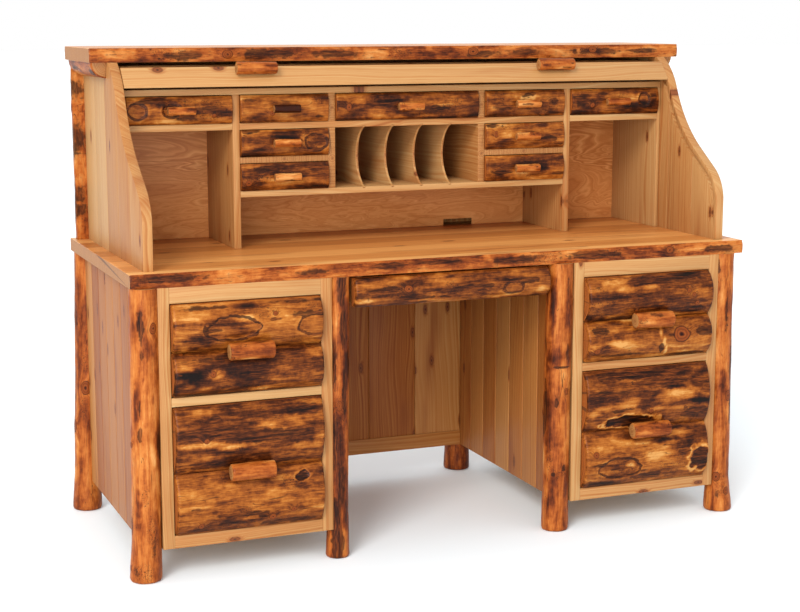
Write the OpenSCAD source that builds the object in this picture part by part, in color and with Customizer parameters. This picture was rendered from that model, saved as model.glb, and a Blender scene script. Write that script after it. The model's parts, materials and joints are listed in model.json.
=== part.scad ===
// Rustic roll top desk: a log-framed pedestal desk with a hutch, a pigeonhole
// organizer and a slatted tambour that rolls down over the writing surface.
// X runs along the desk, Y from front to back, Z up. Units are millimetres.
// Lengths along Y below are measured from the front edge of the worktop.

/* [Overall] */
// Length of the top slab, the longest piece
slab_w = 1708; // [1704:1:1712]
// Length of the worktop
worktop_w = 1700; // [1692:1:1704]
// Depth of the worktop from its front edge to its rear edge
worktop_d = 735; // [730:1:745]
// Height of the writing surface over the floor
worktop_z = 762; // [760:1:766]
// Thickness of the worktop
worktop_t = 35; // [32:1:37]
// Height of the whole desk
desk_h = 1286; // [1284:1:1290]
// Thickness of the top slab
slab_t = 36; // [34:1:38]

/* [Log posts] */
// Centres of the four front posts along X
post_x = [-813, -318, 301, 801]; // [-820:1:820]
// Diameters of the four front posts
post_d = [73, 57, 73, 65]; // [56:1:74]
// How far a post's foot flares past its shaft
foot_flare = 4; // [2:1:5]
// Length of the flared foot
foot_h = 70; // [50:5:90]

/* [Pedestals] */
// Centres of the left and right pedestals along X
pedestal_x = [-564, 555]; // [-566:1:566]
// Width of each pedestal's face frame
frame_w = 432; // [430:1:434]
// Thickness of the face frames
frame_t = 20; // [18:1:22]
// Width of the face frames' stiles
stile_w = 24; // [22:1:26]

/* [Hutch] */
// Distance between the inner faces of the two hutch sides
hutch_w = 1568; // [1566:1:1570]
// Thickness of the hutch sides
hutch_t = 24; // [22:1:26]
// Rise of the straight foot of a side's front edge
edge_foot = 101; // [96:1:106]
// Radius of the lower, outward bend of a side's front edge
edge_r1 = 109; // [105:1:112]
// Length of the straight slope above the lower bend
edge_slope = 93; // [90:1:95]
// Radius of the hollow bend of a side's front edge
edge_r2 = 380; // [375:1:385]
// Radius of the upper, outward bend of a side's front edge
edge_r3 = 176; // [170:1:180]

/* [Organizer] */
// Front face of the organizer
organizer_y = 349; // [349:1:352]
// Height of the organizer's top over the floor
organizer_z = 1181; // [1178:1:1181]

/* [Tambour] */
// Number of pairs of slats
slat_pairs = 11; // [11:1:11]
// Length of the curtain that one pair of slats takes up
pair_pitch = 50; // [50:0.1:50.2]
// Thickness of a slat
slat_t = 10; // [8:1:10]
// Height of the lift rail
rail_h = 65; // [60:1:66]
// Thickness of the lift rail
rail_t = 18; // [16:1:19]

/* [Pulls] */
// Length and diameter of a large drawer's log pull
big_pull = [112, 46]; // [40:1:120]
// Length and diameter of a small drawer's log pull
small_pull = [72, 24]; // [20:1:80]
// Length and diameter of a lift rail's log pull
rail_pull = [108, 34]; // [30:1:120]

/* [Hidden] */
$fn = 64;
small_count = 9;
BIG_NAMES = ["upper_left", "lower_left", "upper_right", "lower_right"];

// colours
PALE = "#ebc494";
AMBER = "#cf9152";
LOG = "#c98244";
BARK = "#8a4f22";
PLY = "#b98a5c";
BOX = "#e2bd8d";

// clearances
gap = 0.5;
front_gap = 2;
v_joint = 2;
glue = 0.1;

under_top = worktop_z - worktop_t;
slab_z = desk_h - slab_t;
slab_y = [376, 709];

// posts
front_post_y = 26;
rear_post_y = 690;
groove_in_post = 12;

// face frames
frame_y = 5;
frame_tenon = 5;
bottom_rail = [77, 109];
lower_opening = [109, 433];
upper_opening = [455, 687];
opening_w = frame_w - 2 * stile_w;
drawer_w = opening_w - 2 * front_gap;

// panels of the pedestals
panel_t = 22;
panel_z = 85;
knee_t = 20;
knee_z = 83;
rear_panel_y = 653;
rear_panel_t = 12;
rear_rail_t = 14;
side_x = 805;
side_boards = 7;
back_boards = 4;
knee_x = 315;

// large drawers: each front is two half logs, split at a share of its height
front_back_y = frame_y + frame_t;
front_flat_t = 26;
big_bulge = 27;
box_side_t = 12;
box_gap = 14;
box_lift = 5;
box_drop = 24;
box_depth = 560;
bottom_t = 6;
split_share = 0.48;
dowel_d = 16;

// pencil drawer
pencil_x = [-285, 259];
pencil_z = [646, 722];
pencil_box_z = [655, 709];
pencil_box_d = 420;
pencil_flat_t = 16;
pencil_bulge = 20;
pencil_side_t = 10;
pencil_inset = 32;
hanger_t = 12;
hanger_lip_t = 10;
hanger_y = [front_back_y + 5, front_back_y + 460];

// hutch
hutch_y = 40;
hutch_rear = 690;
hutch_back_t = 18;
rear_slab_t = 19;
rear_slab_w = 62;
hutch_back_boards = 12;
cleat_r = 42;
cleat_l = 290;
turn1 = 56;
turn2 = 32;
turn3 = 36;

// organizer
organizer_rear = 605;
organizer_half = hutch_w / 2 - 1;
ply_t = 6;
top_t = 16;
full_divider_x = 473;
short_divider_x = 209;
divider_t = 19;
end_panel_t = 9;
upper_shelf = [1074, 1091];
middle_shelf = [986, 1002];
bottom_shelf = [897, 913];
letter_x = [-127, -44, 40, 125];
letter_t = 6;
dado = 4;
letter_play = 0.3;
scoop = 57;
cable_slot = [217, 307];
cable_slot_h = 18;

// small drawers
small_back_y = organizer_y + 8;
small_flat_t = 12;
small_bulge = 9;
small_side_t = 8;
small_depth = 236;
small_bottom_t = 5;
small_dowel_d = 8;
small_play = [3, 2];
small_box_play = [2, 4];

// tambour
slat_gap = 1;
pair_gap = 2;
canvas_in = 19;
groove_d = 7;
groove_in = 4.8;
groove_play = 1.5;
groove_start = 60;
groove_spare = 30;
tongue_t = 6;
tongue_l = 5;
rear_bend_r = 70;
rear_run_y = 640;
rest_s = 585;
rail_rest = [336, 1209, 50];
rail_bevel = 12;
rail_dowel_d = 12;
rail_pull_x = 433;
rail_pull_up = 10;
slat_end_gap = 1.5;

// how far the foremost pull stands in front of the worktop's edge
function half_log_r(h, b) = (h * h / 4 + b * b) / (2 * b);
function pull_y(flat_y, h, b, r) =
    flat_y - b + half_log_r(h, b)
    - sqrt(pow(half_log_r(h, b) + r, 2) - h * h / 4) - gap;
flat_y = front_back_y - front_flat_t;
function halves(o) =
    let (h = o[1] - o[0] - 2 * front_gap)
    [h * split_share, h * (1 - split_share)];
function big_pull_y(o) =
    min([for (h = halves(o)) pull_y(flat_y, h, big_bulge, big_pull[1] / 2)]);
front_most = min(big_pull_y(upper_opening), big_pull_y(lower_opening)) - big_pull[1] / 2;
mid_y = (front_most + worktop_d) / 2;

// A walk along a line of straight and bent stretches in the Y-Z plane.
// A place is [y, z, heading]; a stretch is [length, clockwise turn in degrees].
function arc(r, turn) = [r * turn * PI / 180, turn];
function hollow(r, turn) = [r * turn * PI / 180, -turn];
function go(p, l, turn) =
    turn == 0
    ? [p[0] + l * cos(p[2]), p[1] + l * sin(p[2]), p[2]]
    : let (r = l / (turn * PI / 180), h = p[2] - turn)
      [p[0] + r * (sin(p[2]) - sin(h)), p[1] + r * (cos(h) - cos(p[2])), h];
function walk(p, way, s, i = 0) =
    i >= len(way)
    ? go(p, s, 0)
    : s <= way[i][0]
    ? go(p, s, way[i][1] * s / way[i][0])
    : walk(go(p, way[i][0], way[i][1]), way, s - way[i][0], i + 1);
function total(way, i = 0) = i >= len(way) ? 0 : way[i][0] + total(way, i + 1);

// front edge of a hutch side
edge_start = [hutch_y, worktop_z, 90];
edge_way = [
    [edge_foot, 0], arc(edge_r1, turn1), [edge_slope, 0],
    hollow(edge_r2, turn2), arc(edge_r3, turn3)
];

// line of the tambour's canvas, set in from the front edge, then along the
// underside of the top slab and down behind the organizer
canvas_z = slab_z - 2 * slat_t;
way_start = [hutch_y + canvas_in, worktop_z, 90];
way_front = [
    [edge_foot, 0], arc(edge_r1 - canvas_in, turn1), [edge_slope, 0],
    hollow(edge_r2 + canvas_in, turn2)
];
front_end = walk(way_start, way_front, total(way_front));
top_bend_r = (canvas_z - front_end[1]) / (1 - cos(front_end[2]));
top_bend_end = go(front_end, top_bend_r * front_end[2] * PI / 180, front_end[2]);
way = concat(way_front, [
    arc(top_bend_r, front_end[2]),
    [rear_run_y - rear_bend_r - top_bend_end[0], 0],
    arc(rear_bend_r, 90)
]);

// ---- shared shapes ----

// moves the worktop's front edge to its place around the centre of the desk
module placed() {
    translate([0, -mid_y, 0]) children();
}

module block(x, y, z) {
    translate([x[0], y[0], z[0]])
        cube([x[1] - x[0], y[1] - y[0], z[1] - z[0]]);
}

// extrudes a Y-Z outline along X
module along_x(x0, x1) {
    translate([x0, 0, 0]) rotate([90, 0, 90]) linear_extrude(x1 - x0) children();
}

// outline of a board with eased long edges
module eased(a, b, c = v_joint) {
    polygon([
        [c, 0], [a - c, 0], [a, c], [a, b - c],
        [a - c, b], [c, b], [0, b - c], [0, c]
    ]);
}

// vertical boards side by side along Y, their faces at x[0] and x[1]
module boards_along_y(x, y, z, n) {
    w = (y[1] - y[0]) / n;
    for (i = [0:n - 1])
        translate([x[0], y[0] + i * w, z[0]])
            linear_extrude(z[1] - z[0]) eased(x[1] - x[0], w - glue);
}

// vertical boards side by side along X, their faces at y[0] and y[1]
module boards_along_x(x, y, z, n) {
    w = (x[1] - x[0]) / n;
    for (i = [0:n - 1])
        translate([x[0] + i * w, y[0], z[0]])
            linear_extrude(z[1] - z[0]) eased(w - glue, y[1] - y[0]);
}

// a log standing on the floor, with a flared foot and eased ends
module log_post(x, y, d, h) {
    r = d / 2;
    ease = 6;
    translate([x, y, 0])
        rotate_extrude()
            polygon([
                [0, 0], [r + foot_flare - ease, 0], [r + foot_flare, ease],
                [r, foot_h], [r, h], [0, h]
            ]);
}

// half a log lying along X: its flat side at y = 0, its round side towards -Y
module half_log(w, h, t, b) {
    r = half_log_r(h, b);
    along_x(-w / 2, w / 2) {
        translate([-t, 0]) square([t, h]);
        intersection() {
            translate([-t - b + r, h / 2]) circle(r, $fn = 128);
            translate([-t - b - 1, 0]) square([b + 1 + t / 2, h]);
        }
    }
}

// a short log along X on a dowel that reaches back along Y
module log_pull(size, dowel_d, reach) {
    l = size[0];
    r = size[1] / 2;
    ease = r / 6;
    rotate([0, 90, 0])
        rotate_extrude()
            polygon([
                [0, -l / 2], [r - ease, -l / 2], [r, ease - l / 2],
                [r, l / 2 - ease], [r - ease, l / 2], [0, l / 2]
            ]);
    rotate([-90, 0, 0]) cylinder(d = dowel_d, h = reach);
}

// an open box of five boards, its front at y = 0
module box(w, d, h, t, base) {
    for (s = [-1, 1])
        translate([s * (w - t) / 2 - t / 2, 0, 0]) cube([t, d, h]);
    inner = w - 2 * t - 2 * glue;
    for (y = [0, d - t])
        translate([-inner / 2, y, 0]) cube([inner, t, h]);
    translate([-inner / 2, t + glue, t / 2]) cube([inner, d - 2 * t - 2 * glue, base]);
}

// ---- the desk's body ----

module worktop() {
    color(AMBER) placed()
        along_x(-worktop_w / 2, worktop_w / 2)
            translate([0, under_top]) eased(worktop_d, worktop_t, 3);
}

module top_slab() {
    color(LOG) placed()
        along_x(-slab_w / 2, slab_w / 2)
            translate([slab_y[0], slab_z]) eased(slab_y[1] - slab_y[0], slab_t, 4);
}

// a front post, notched for the panel behind it and for the face frame beside it
module front_post(i) {
    outer = i == 0 || i == 3;
    color(LOG) placed()
        difference() {
            log_post(post_x[i], front_post_y, post_d[i], under_top);
            frame_bodies();
            if (outer) side_bodies();
            else knee_bodies();
        }
}

module post_front_left_outer() { front_post(0); }
module post_front_left_inner() { front_post(1); }
module post_front_right_inner() { front_post(2); }
module post_front_right_outer() { front_post(3); }

module rear_posts() {
    color(LOG) placed()
        for (i = [0:3])
            difference() {
                log_post(post_x[i], rear_post_y, post_d[i], under_top);
                side_bodies();
                knee_bodies();
                back_bodies();
            }
}

// the stiles and rails of one face frame
module frame_pieces(i) {
    x = pedestal_x[i];
    y = [frame_y, frame_y + frame_t];
    out = frame_w / 2 + frame_tenon;
    for (s = [-1, 1])
        block([x + min(s * out, s * opening_w / 2), x + max(s * out, s * opening_w / 2)],
              y, [bottom_rail[0], under_top]);
    in = opening_w / 2 - glue;
    for (z = [bottom_rail, [lower_opening[1], upper_opening[0]], [upper_opening[1], under_top]])
        block([x - in, x + in], y, z);
}

module frame_bodies() {
    for (x = pedestal_x)
        block([x - frame_w / 2 - frame_tenon, x + frame_w / 2 + frame_tenon],
              [frame_y, frame_y + frame_t], [bottom_rail[0], under_top]);
}

module face_frame_left() { color(PALE) placed() frame_pieces(0); }
module face_frame_right() { color(PALE) placed() frame_pieces(1); }

panel_y = [front_post_y + post_d[0] / 2 - groove_in_post,
           rear_post_y - post_d[0] / 2 + groove_in_post];

module side_bodies() {
    for (s = [0, 1])
        mirror([s, 0, 0]) block([side_x, side_x + panel_t], panel_y, [panel_z, under_top]);
}

module knee_bodies() {
    for (s = [0, 1])
        mirror([s, 0, 0]) block([knee_x - knee_t, knee_x], panel_y, [knee_z, under_top]);
}

module back_bodies() {
    rear = rear_panel_y + rear_panel_t;
    block([-side_x, side_x], [rear - rear_rail_t, rear], [knee_z, under_top]);
}

module side_panel() {
    color(PALE) placed()
        boards_along_y([side_x, side_x + panel_t], panel_y, [panel_z, under_top], side_boards);
}

module side_panel_right() { side_panel(); }
module side_panel_left() { mirror([1, 0, 0]) side_panel(); }

module knee_panel() {
    color(PALE) placed()
        boards_along_y([knee_x - knee_t, knee_x], panel_y, [knee_z, under_top], side_boards);
}

module knee_panel_right() { knee_panel(); }
module knee_panel_left() { mirror([1, 0, 0]) knee_panel(); }

module pedestal_backs() {
    color(PALE) placed()
        for (s = [0, 1])
            mirror([s, 0, 0])
                boards_along_x([knee_x, side_x],
                               [rear_panel_y, rear_panel_y + rear_panel_t],
                               [panel_z, under_top], back_boards);
}

module knee_back_panel() {
    rail_top = 127;
    inner = knee_x - knee_t;
    rear = rear_panel_y + rear_panel_t;
    color(PALE) placed() {
        block([-inner, inner], [rear - rear_rail_t, rear], [knee_z, rail_top]);
        boards_along_x([-inner, inner], [rear_panel_y, rear],
                       [rail_top + glue, under_top], back_boards);
    }
}

// the strips that carry the large drawers, and the hangers of the pencil drawer
module drawer_runners() {
    runner_h = 20;
    lip = 14;
    box_half = drawer_w / 2 - box_gap;
    color(BOX) placed() {
        for (i = [0, 1], o = [lower_opening, upper_opening]) {
            top = o[0] + front_gap + box_lift - gap;
            wall = i == 0 ? [-side_x, -knee_x] : [knee_x, side_x];
            y = [front_post_y + post_d[0] / 2 + gap, rear_panel_y];
            z = [top - runner_h, top];
            block([wall[0], pedestal_x[i] - box_half + lip], y, z);
            block([pedestal_x[i] + box_half - lip, wall[1]], y, z);
        }
        for (s = [-1, 1])
            translate([(pencil_x[0] + pencil_x[1]) / 2, 0, 0])
                mirror([s < 0 ? 1 : 0, 0, 0]) {
                    inner = pencil_half() + 1;
                    foot = pencil_box_z[0] - hanger_lip_t;
                    block([inner, inner + hanger_t], hanger_y, [foot, under_top]);
                    block([inner - lip, inner - glue], hanger_y, [foot, pencil_box_z[0] - gap]);
                }
    }
}

// ---- drawers ----

// opening of large drawer k: left upper, left lower, right upper, right lower
function big_opening(k) = k % 2 == 0 ? upper_opening : lower_opening;
function big_x(k) = pedestal_x[k < 2 ? 0 : 1];

module drawer_box(k) {
    o = big_opening(k);
    z0 = o[0] + front_gap + box_lift;
    color(BOX) placed()
        translate([big_x(k), front_back_y, z0])
            box(drawer_w - 2 * box_gap, box_depth, o[1] - z0 - box_drop, box_side_t, bottom_t);
}

module drawer_front(k) {
    o = big_opening(k);
    h = halves(o);
    z0 = o[0] + front_gap;
    color(BARK) placed()
        for (i = [0, 1])
            difference() {
                translate([big_x(k), front_back_y, z0 + i * (h[0] + glue)])
                    half_log(drawer_w, h[i] - glue, front_flat_t, big_bulge);
                pull_bore(k);
            }
}

module pull_bore(k) {
    o = big_opening(k);
    translate([big_x(k), flat_y - big_bulge, o[0] + front_gap + halves(o)[0]])
        rotate([-90, 0, 0]) cylinder(d = dowel_d, h = 2 * front_flat_t + big_bulge);
}

module drawer_pull(k) {
    o = big_opening(k);
    y = big_pull_y(o);
    color(LOG) placed()
        translate([big_x(k), y, o[0] + front_gap + halves(o)[0]])
            log_pull(big_pull, dowel_d, front_back_y - y);
}

function pencil_half() = (pencil_x[1] - pencil_x[0]) / 2 - pencil_inset;

module pencil_drawer_box() {
    color(BOX) placed()
        translate([(pencil_x[0] + pencil_x[1]) / 2, front_back_y, pencil_box_z[0]])
            box(2 * pencil_half(), pencil_box_d, pencil_box_z[1] - pencil_box_z[0],
                pencil_side_t, bottom_t);
}

module pencil_drawer_front() {
    color(BARK) placed()
        translate([(pencil_x[0] + pencil_x[1]) / 2, front_back_y, pencil_z[0]])
            half_log(pencil_x[1] - pencil_x[0], pencil_z[1] - pencil_z[0], pencil_flat_t, pencil_bulge);
}

// ---- hutch ----

module side_outline() {
    n = 48;
    l = total(edge_way);
    front = [for (i = [0:n]) let (p = walk(edge_start, edge_way, l * i / n)) [p[0], p[1]]];
    polygon(concat(front, [[slab_y[0], slab_z], [hutch_rear, slab_z], [hutch_rear, worktop_z]]));
}

// the groove that the slats' tongues run in
module groove_outline() {
    n = 72;
    run = rest_s + slat_pairs * pair_pitch + groove_spare - groove_start;
    line = [for (i = [0:n]) walk(way_start, way, groove_start + run * i / n)];
    inner = [for (p = line) [p[0] + groove_in * sin(p[2]), p[1] - groove_in * cos(p[2])]];
    w = tongue_t + groove_play;
    outer = [for (i = [n:-1:0]) let (p = line[i]) [p[0] - w * sin(p[2]), p[1] + w * cos(p[2])]];
    polygon(concat(inner, outer));
}

module hutch_side() {
    n = 5;
    w = (hutch_rear - hutch_y) / n;
    x0 = hutch_w / 2;
    color(PALE) placed()
        for (i = [0:n - 1])
            difference() {
                intersection() {
                    translate([x0, hutch_y + i * w, worktop_z])
                        linear_extrude(slab_z - worktop_z) eased(hutch_t, w - glue, 1);
                    along_x(x0 - 1, x0 + hutch_t + 1) side_outline();
                }
                along_x(x0 - 1, x0 + groove_d) groove_outline();
            }
}

module hutch_side_right() { hutch_side(); }
module hutch_side_left() { mirror([1, 0, 0]) hutch_side(); }

module hutch_rear_slabs() {
    color(LOG) placed()
        for (s = [0, 1])
            mirror([s, 0, 0])
                translate([hutch_w / 2, hutch_rear, worktop_z])
                    linear_extrude(slab_z - worktop_z) eased(rear_slab_w, rear_slab_t, 4);
}

// quarter logs under the ends of the top slab
module hutch_cleats() {
    color(LOG) placed()
        for (s = [0, 1])
            mirror([s, 0, 0])
                translate([hutch_w / 2 + hutch_t, hutch_rear, slab_z])
                    rotate([90, 0, 0])
                        linear_extrude(cleat_l)
                            intersection() {
                                circle(cleat_r);
                                translate([0, -cleat_r]) square(cleat_r);
                            }
}

module hutch_back() {
    color(PALE) placed()
        boards_along_x([-hutch_w / 2, hutch_w / 2], [hutch_rear - hutch_back_t, hutch_rear],
                       [worktop_z, slab_z], hutch_back_boards);
}

// ---- organizer ----

module organizer_board(x, z) {
    block(x, [organizer_y, organizer_rear], z);
}

module organizer_case() {
    top_z = organizer_z - top_t;
    long = full_divider_x - glue;
    color(PALE) placed() {
        organizer_board([-organizer_half, organizer_half], [top_z, organizer_z]);
        difference() {
            union() {
                organizer_board([-long, long], upper_shelf);
                organizer_board([-long, long], bottom_shelf);
            }
            letter_bodies(letter_play);
        }
        for (s = [0, 1])
            mirror([s, 0, 0]) {
                cell = full_divider_x + divider_t;
                short = [short_divider_x, short_divider_x + divider_t];
                organizer_board([organizer_half - end_panel_t, organizer_half], [worktop_z, top_z - glue]);
                organizer_board([full_divider_x, cell], [worktop_z, top_z - glue]);
                organizer_board([cell + glue, organizer_half - end_panel_t - glue], upper_shelf);
                organizer_board([short[1] + glue, full_divider_x - glue], middle_shelf);
                organizer_board(short, [upper_shelf[1] + glue, top_z - glue]);
                organizer_board(short, [bottom_shelf[1] + glue, upper_shelf[0] - glue]);
            }
    }
}

module organizer_back() {
    color(PLY) placed()
        difference() {
            block([-organizer_half, organizer_half], [organizer_rear, organizer_rear + ply_t],
                  [worktop_z, organizer_z]);
            block(cable_slot, [organizer_rear - 1, organizer_rear + ply_t + 1],
                  [worktop_z - 1, worktop_z + cable_slot_h]);
        }
}

// the letter dividers as plain blocks, wider by a clearance on each side
module letter_bodies(c) {
    for (x = letter_x)
        block([x - letter_t / 2 - c, x + letter_t / 2 + c],
              [organizer_y - 1, organizer_rear + 1],
              [bottom_shelf[1] - dado, upper_shelf[0] + dado]);
}

module letter_dividers() {
    h = upper_shelf[0] - bottom_shelf[1];
    r = (h * h / 4 + scoop * scoop) / (2 * scoop);
    color(PALE) placed()
        for (x = letter_x)
            difference() {
                block([x - letter_t / 2, x + letter_t / 2],
                      [organizer_y, organizer_rear - gap],
                      [bottom_shelf[1] - dado + gap, upper_shelf[0] + dado - gap]);
                translate([x - letter_t, organizer_y + scoop - r, bottom_shelf[1] + h / 2])
                    rotate([0, 90, 0]) cylinder(r = r, h = 2 * letter_t, $fn = 128);
            }
}

// cell of small drawer i, as [x range, z range]: five along the top, then two
// pairs below on the left and on the right
function mirrored(x) = [-x[1], -x[0]];
end_cell = [full_divider_x + divider_t, organizer_half - end_panel_t];
side_cell = [short_divider_x + divider_t, full_divider_x];
top_row = [upper_shelf[1], organizer_z - top_t];
SMALL_CELLS = [
    [mirrored(end_cell), top_row],
    [mirrored(side_cell), top_row],
    [[-short_divider_x, short_divider_x], top_row],
    [side_cell, top_row],
    [end_cell, top_row],
    [mirrored(side_cell), [middle_shelf[1], upper_shelf[0]]],
    [side_cell, [middle_shelf[1], upper_shelf[0]]],
    [mirrored(side_cell), [bottom_shelf[1], middle_shelf[0]]],
    [side_cell, [bottom_shelf[1], middle_shelf[0]]]
];

module small_drawer(i) {
    cell = SMALL_CELLS[i - 1];
    x = (cell[0][0] + cell[0][1]) / 2;
    w = cell[0][1] - cell[0][0] - small_play[0];
    h = cell[1][1] - cell[1][0] - small_play[1];
    far = -small_flat_t - small_bulge - small_pull[1] / 2 - gap;
    placed() translate([x, small_back_y, cell[1][0] + gap]) {
        color(BOX) translate([0, glue, 0])
            box(w - small_box_play[0], small_depth, h - small_box_play[1],
                small_side_t, small_bottom_t);
        color(BARK)
            difference() {
                half_log(w, h, small_flat_t, small_bulge);
                translate([0, far, h / 2])
                    rotate([-90, 0, 0]) cylinder(d = small_dowel_d + 2 * glue, h = 1 - far);
            }
        color(LOG) translate([0, far, h / 2]) log_pull(small_pull, small_dowel_d, -far - glue);
    }
}

// ---- tambour ----

// puts a Y-Z outline, drawn as [along the curtain, outwards], at a place on it
module on_curtain(p) {
    translate([0, p[0], p[1]]) rotate([p[2], 0, 0]) children();
}

// one slat: eased on its outer face, with a thinner tongue at each end
module slat(u) {
    w = (pair_pitch - pair_gap - slat_gap) / 2;
    half = hutch_w / 2 - slat_end_gap;
    c = 3;
    along_x(-half, half)
        translate([u, 0])
            polygon([[0, 0], [w, 0], [w, slat_t - c], [w - c, slat_t], [c, slat_t], [0, slat_t - c]]);
    for (s = [0, 1])
        mirror([s, 0, 0])
            along_x(half - 1, hutch_w / 2 + tongue_l)
                translate([u + 1, 0]) square([w - 2, tongue_t - 1]);
}

module tambour_slats(i) {
    s = rest_s + (i - 1) * pair_pitch;
    a = walk(way_start, way, s);
    b = walk(way_start, way, s + pair_pitch);
    heading = atan2(b[1] - a[1], b[0] - a[0]);
    color(PALE) placed()
        on_curtain([a[0], a[1], heading]) {
            slat(pair_gap / 2);
            slat(pair_gap / 2 + (pair_pitch - pair_gap + slat_gap) / 2);
        }
}

module lift_rail() {
    half = hutch_w / 2 - slat_end_gap;
    color(PALE) placed()
        on_curtain(rail_rest)
            along_x(-half, half)
                translate([-rail_h / 2, -rail_t / 2])
                    difference() {
                        eased(rail_h, rail_t, 3);
                        polygon([[-1, -1], [rail_bevel, -1], [rail_bevel, 0],
                                 [0, rail_bevel * tan(rail_rest[2])], [-1, rail_t]]);
                    }
}

module lift_rail_pulls() {
    out = rail_t / 2 + rail_pull[1] / 2 + gap;
    color(LOG) placed()
        on_curtain(rail_rest)
            for (s = [-1, 1])
                translate([s * rail_pull_x, rail_pull_up, out])
                    rotate([-90, 0, 0]) log_pull(rail_pull, rail_dowel_d, rail_pull[1] / 2 + gap);
}

// ---- every node ----

worktop();
top_slab();
post_front_left_outer();
post_front_left_inner();
post_front_right_inner();
post_front_right_outer();
rear_posts();
face_frame_left();
face_frame_right();
side_panel_left();
side_panel_right();
knee_panel_left();
knee_panel_right();
pedestal_backs();
knee_back_panel();
drawer_runners();
hutch_side_left();
hutch_side_right();
hutch_rear_slabs();
hutch_cleats();
hutch_back();
organizer_case();
organizer_back();
letter_dividers();
pencil_drawer_box();
pencil_drawer_front();
lift_rail();
lift_rail_pulls();
for (k = [0:3]) {
    drawer_box(k);
    drawer_front(k);
    drawer_pull(k);
}
for (i = [1:small_count])
    small_drawer(i);
for (i = [1:slat_pairs])
    tambour_slats(i);
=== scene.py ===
"""Rustic roll top desk: pale knotty boards, mottled log posts and half-log drawer fronts."""
import json
import math

import bmesh
import bpy
import numpy as np
from mathutils import Matrix, Vector

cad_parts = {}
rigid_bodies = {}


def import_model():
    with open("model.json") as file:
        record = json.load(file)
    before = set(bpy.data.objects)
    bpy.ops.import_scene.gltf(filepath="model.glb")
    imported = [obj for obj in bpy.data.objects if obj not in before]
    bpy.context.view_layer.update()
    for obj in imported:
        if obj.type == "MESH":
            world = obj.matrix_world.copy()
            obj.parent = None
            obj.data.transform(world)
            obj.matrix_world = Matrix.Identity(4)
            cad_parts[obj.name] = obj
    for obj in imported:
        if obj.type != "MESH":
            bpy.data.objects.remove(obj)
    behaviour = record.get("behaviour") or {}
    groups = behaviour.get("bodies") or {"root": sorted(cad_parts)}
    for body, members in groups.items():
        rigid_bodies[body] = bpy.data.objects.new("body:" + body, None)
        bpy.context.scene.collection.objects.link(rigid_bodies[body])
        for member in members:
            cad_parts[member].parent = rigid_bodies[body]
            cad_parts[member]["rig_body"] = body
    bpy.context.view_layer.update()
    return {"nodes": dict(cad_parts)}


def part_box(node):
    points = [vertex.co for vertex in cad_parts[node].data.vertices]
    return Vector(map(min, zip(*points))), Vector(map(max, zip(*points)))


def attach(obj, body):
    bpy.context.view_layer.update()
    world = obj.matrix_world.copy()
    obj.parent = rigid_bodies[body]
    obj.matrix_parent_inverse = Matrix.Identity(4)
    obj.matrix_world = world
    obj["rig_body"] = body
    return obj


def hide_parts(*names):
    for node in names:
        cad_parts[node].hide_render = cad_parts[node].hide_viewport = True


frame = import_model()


def add_object(name, data):
    obj = bpy.data.objects.new(name, data)
    bpy.context.scene.collection.objects.link(obj)
    return obj


# ---- camera
CAMERA_AT = (-1.7062, -4.1880, 1.3685)
CAMERA_YAW = 21.85
CAMERA_PITCH = 9.9
LENS = 75.0

cam_data = bpy.data.cameras.new("camera")
cam_data.lens = LENS
cam_data.sensor_width = 36.0
cam_data.sensor_fit = "HORIZONTAL"
cam_data.clip_end = 200.0
camera = add_object("camera", cam_data)
camera.location = CAMERA_AT
camera.rotation_euler = (math.radians(90 - CAMERA_PITCH), 0, math.radians(-CAMERA_YAW))
bpy.context.scene.camera = camera

BODY = {name: obj["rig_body"] for name, obj in frame["nodes"].items()}
TO_CAMERA = Vector((-math.sin(math.radians(CAMERA_YAW)), -math.cos(math.radians(CAMERA_YAW)), 0))


# ---- noise
def lattice(i, j, k, seed):
    """A fixed random number from -1 to 1 for each whole point i, j, k."""
    n = (i * 1619 + j * 31337 + k * 6971 + seed * 1013) & 0x7FFFFFFF
    n = (n >> 13) ^ n
    n = (n * ((n * n * 15731 + 789221) & 0x7FFFFFFF) + 1376312589) & 0x7FFFFFFF
    return n / 1073741824.0 - 1.0


def noise(x, y, z, seed=0):
    """Smooth value noise from -1 to 1 at arrays of coordinates."""
    x, y, z = np.broadcast_arrays(*(np.asarray(v, float) for v in (x, y, z)))
    i, j, k = (np.floor(v).astype(np.int64) for v in (x, y, z))
    f = [v - np.floor(v) for v in (x, y, z)]
    f = [v * v * (3 - 2 * v) for v in f]
    out = np.zeros(x.shape)
    for a, b, c in np.ndindex(2, 2, 2):
        w = (f[0] if a else 1 - f[0]) * (f[1] if b else 1 - f[1]) * (f[2] if c else 1 - f[2])
        out += w * lattice(i + a, j + b, k + c, seed)
    return out


def smooth(t):
    """An S curve from 0 to 1."""
    t = np.clip(t, 0, 1)
    return t * t * (3 - 2 * t)


# ---- shader helper
def rgb(r, g, b, scale=1.0, power=1.0):
    """A screen colour, 0 to 255, as a linear one."""
    lin = [(c / 255 / 12.92) if c <= 10 else ((c / 255 + 0.055) / 1.055) ** 2.4 for c in (r, g, b)]
    return (*(scale * c ** power for c in lin), 1.0)


def pale(r, g, b):
    """The colour that planed wood needs so that it shows as r, g, b under these lights."""
    return rgb(r, g, b, 0.54, 1.40)


def amber(r, g, b):
    """The same for the oiled worktop and the ply."""
    return rgb(r, g, b, 1.05)


def bark(r, g, b):
    """The same for the stained logs."""
    return rgb(r, g, b, 0.74, 1.32)


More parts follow.
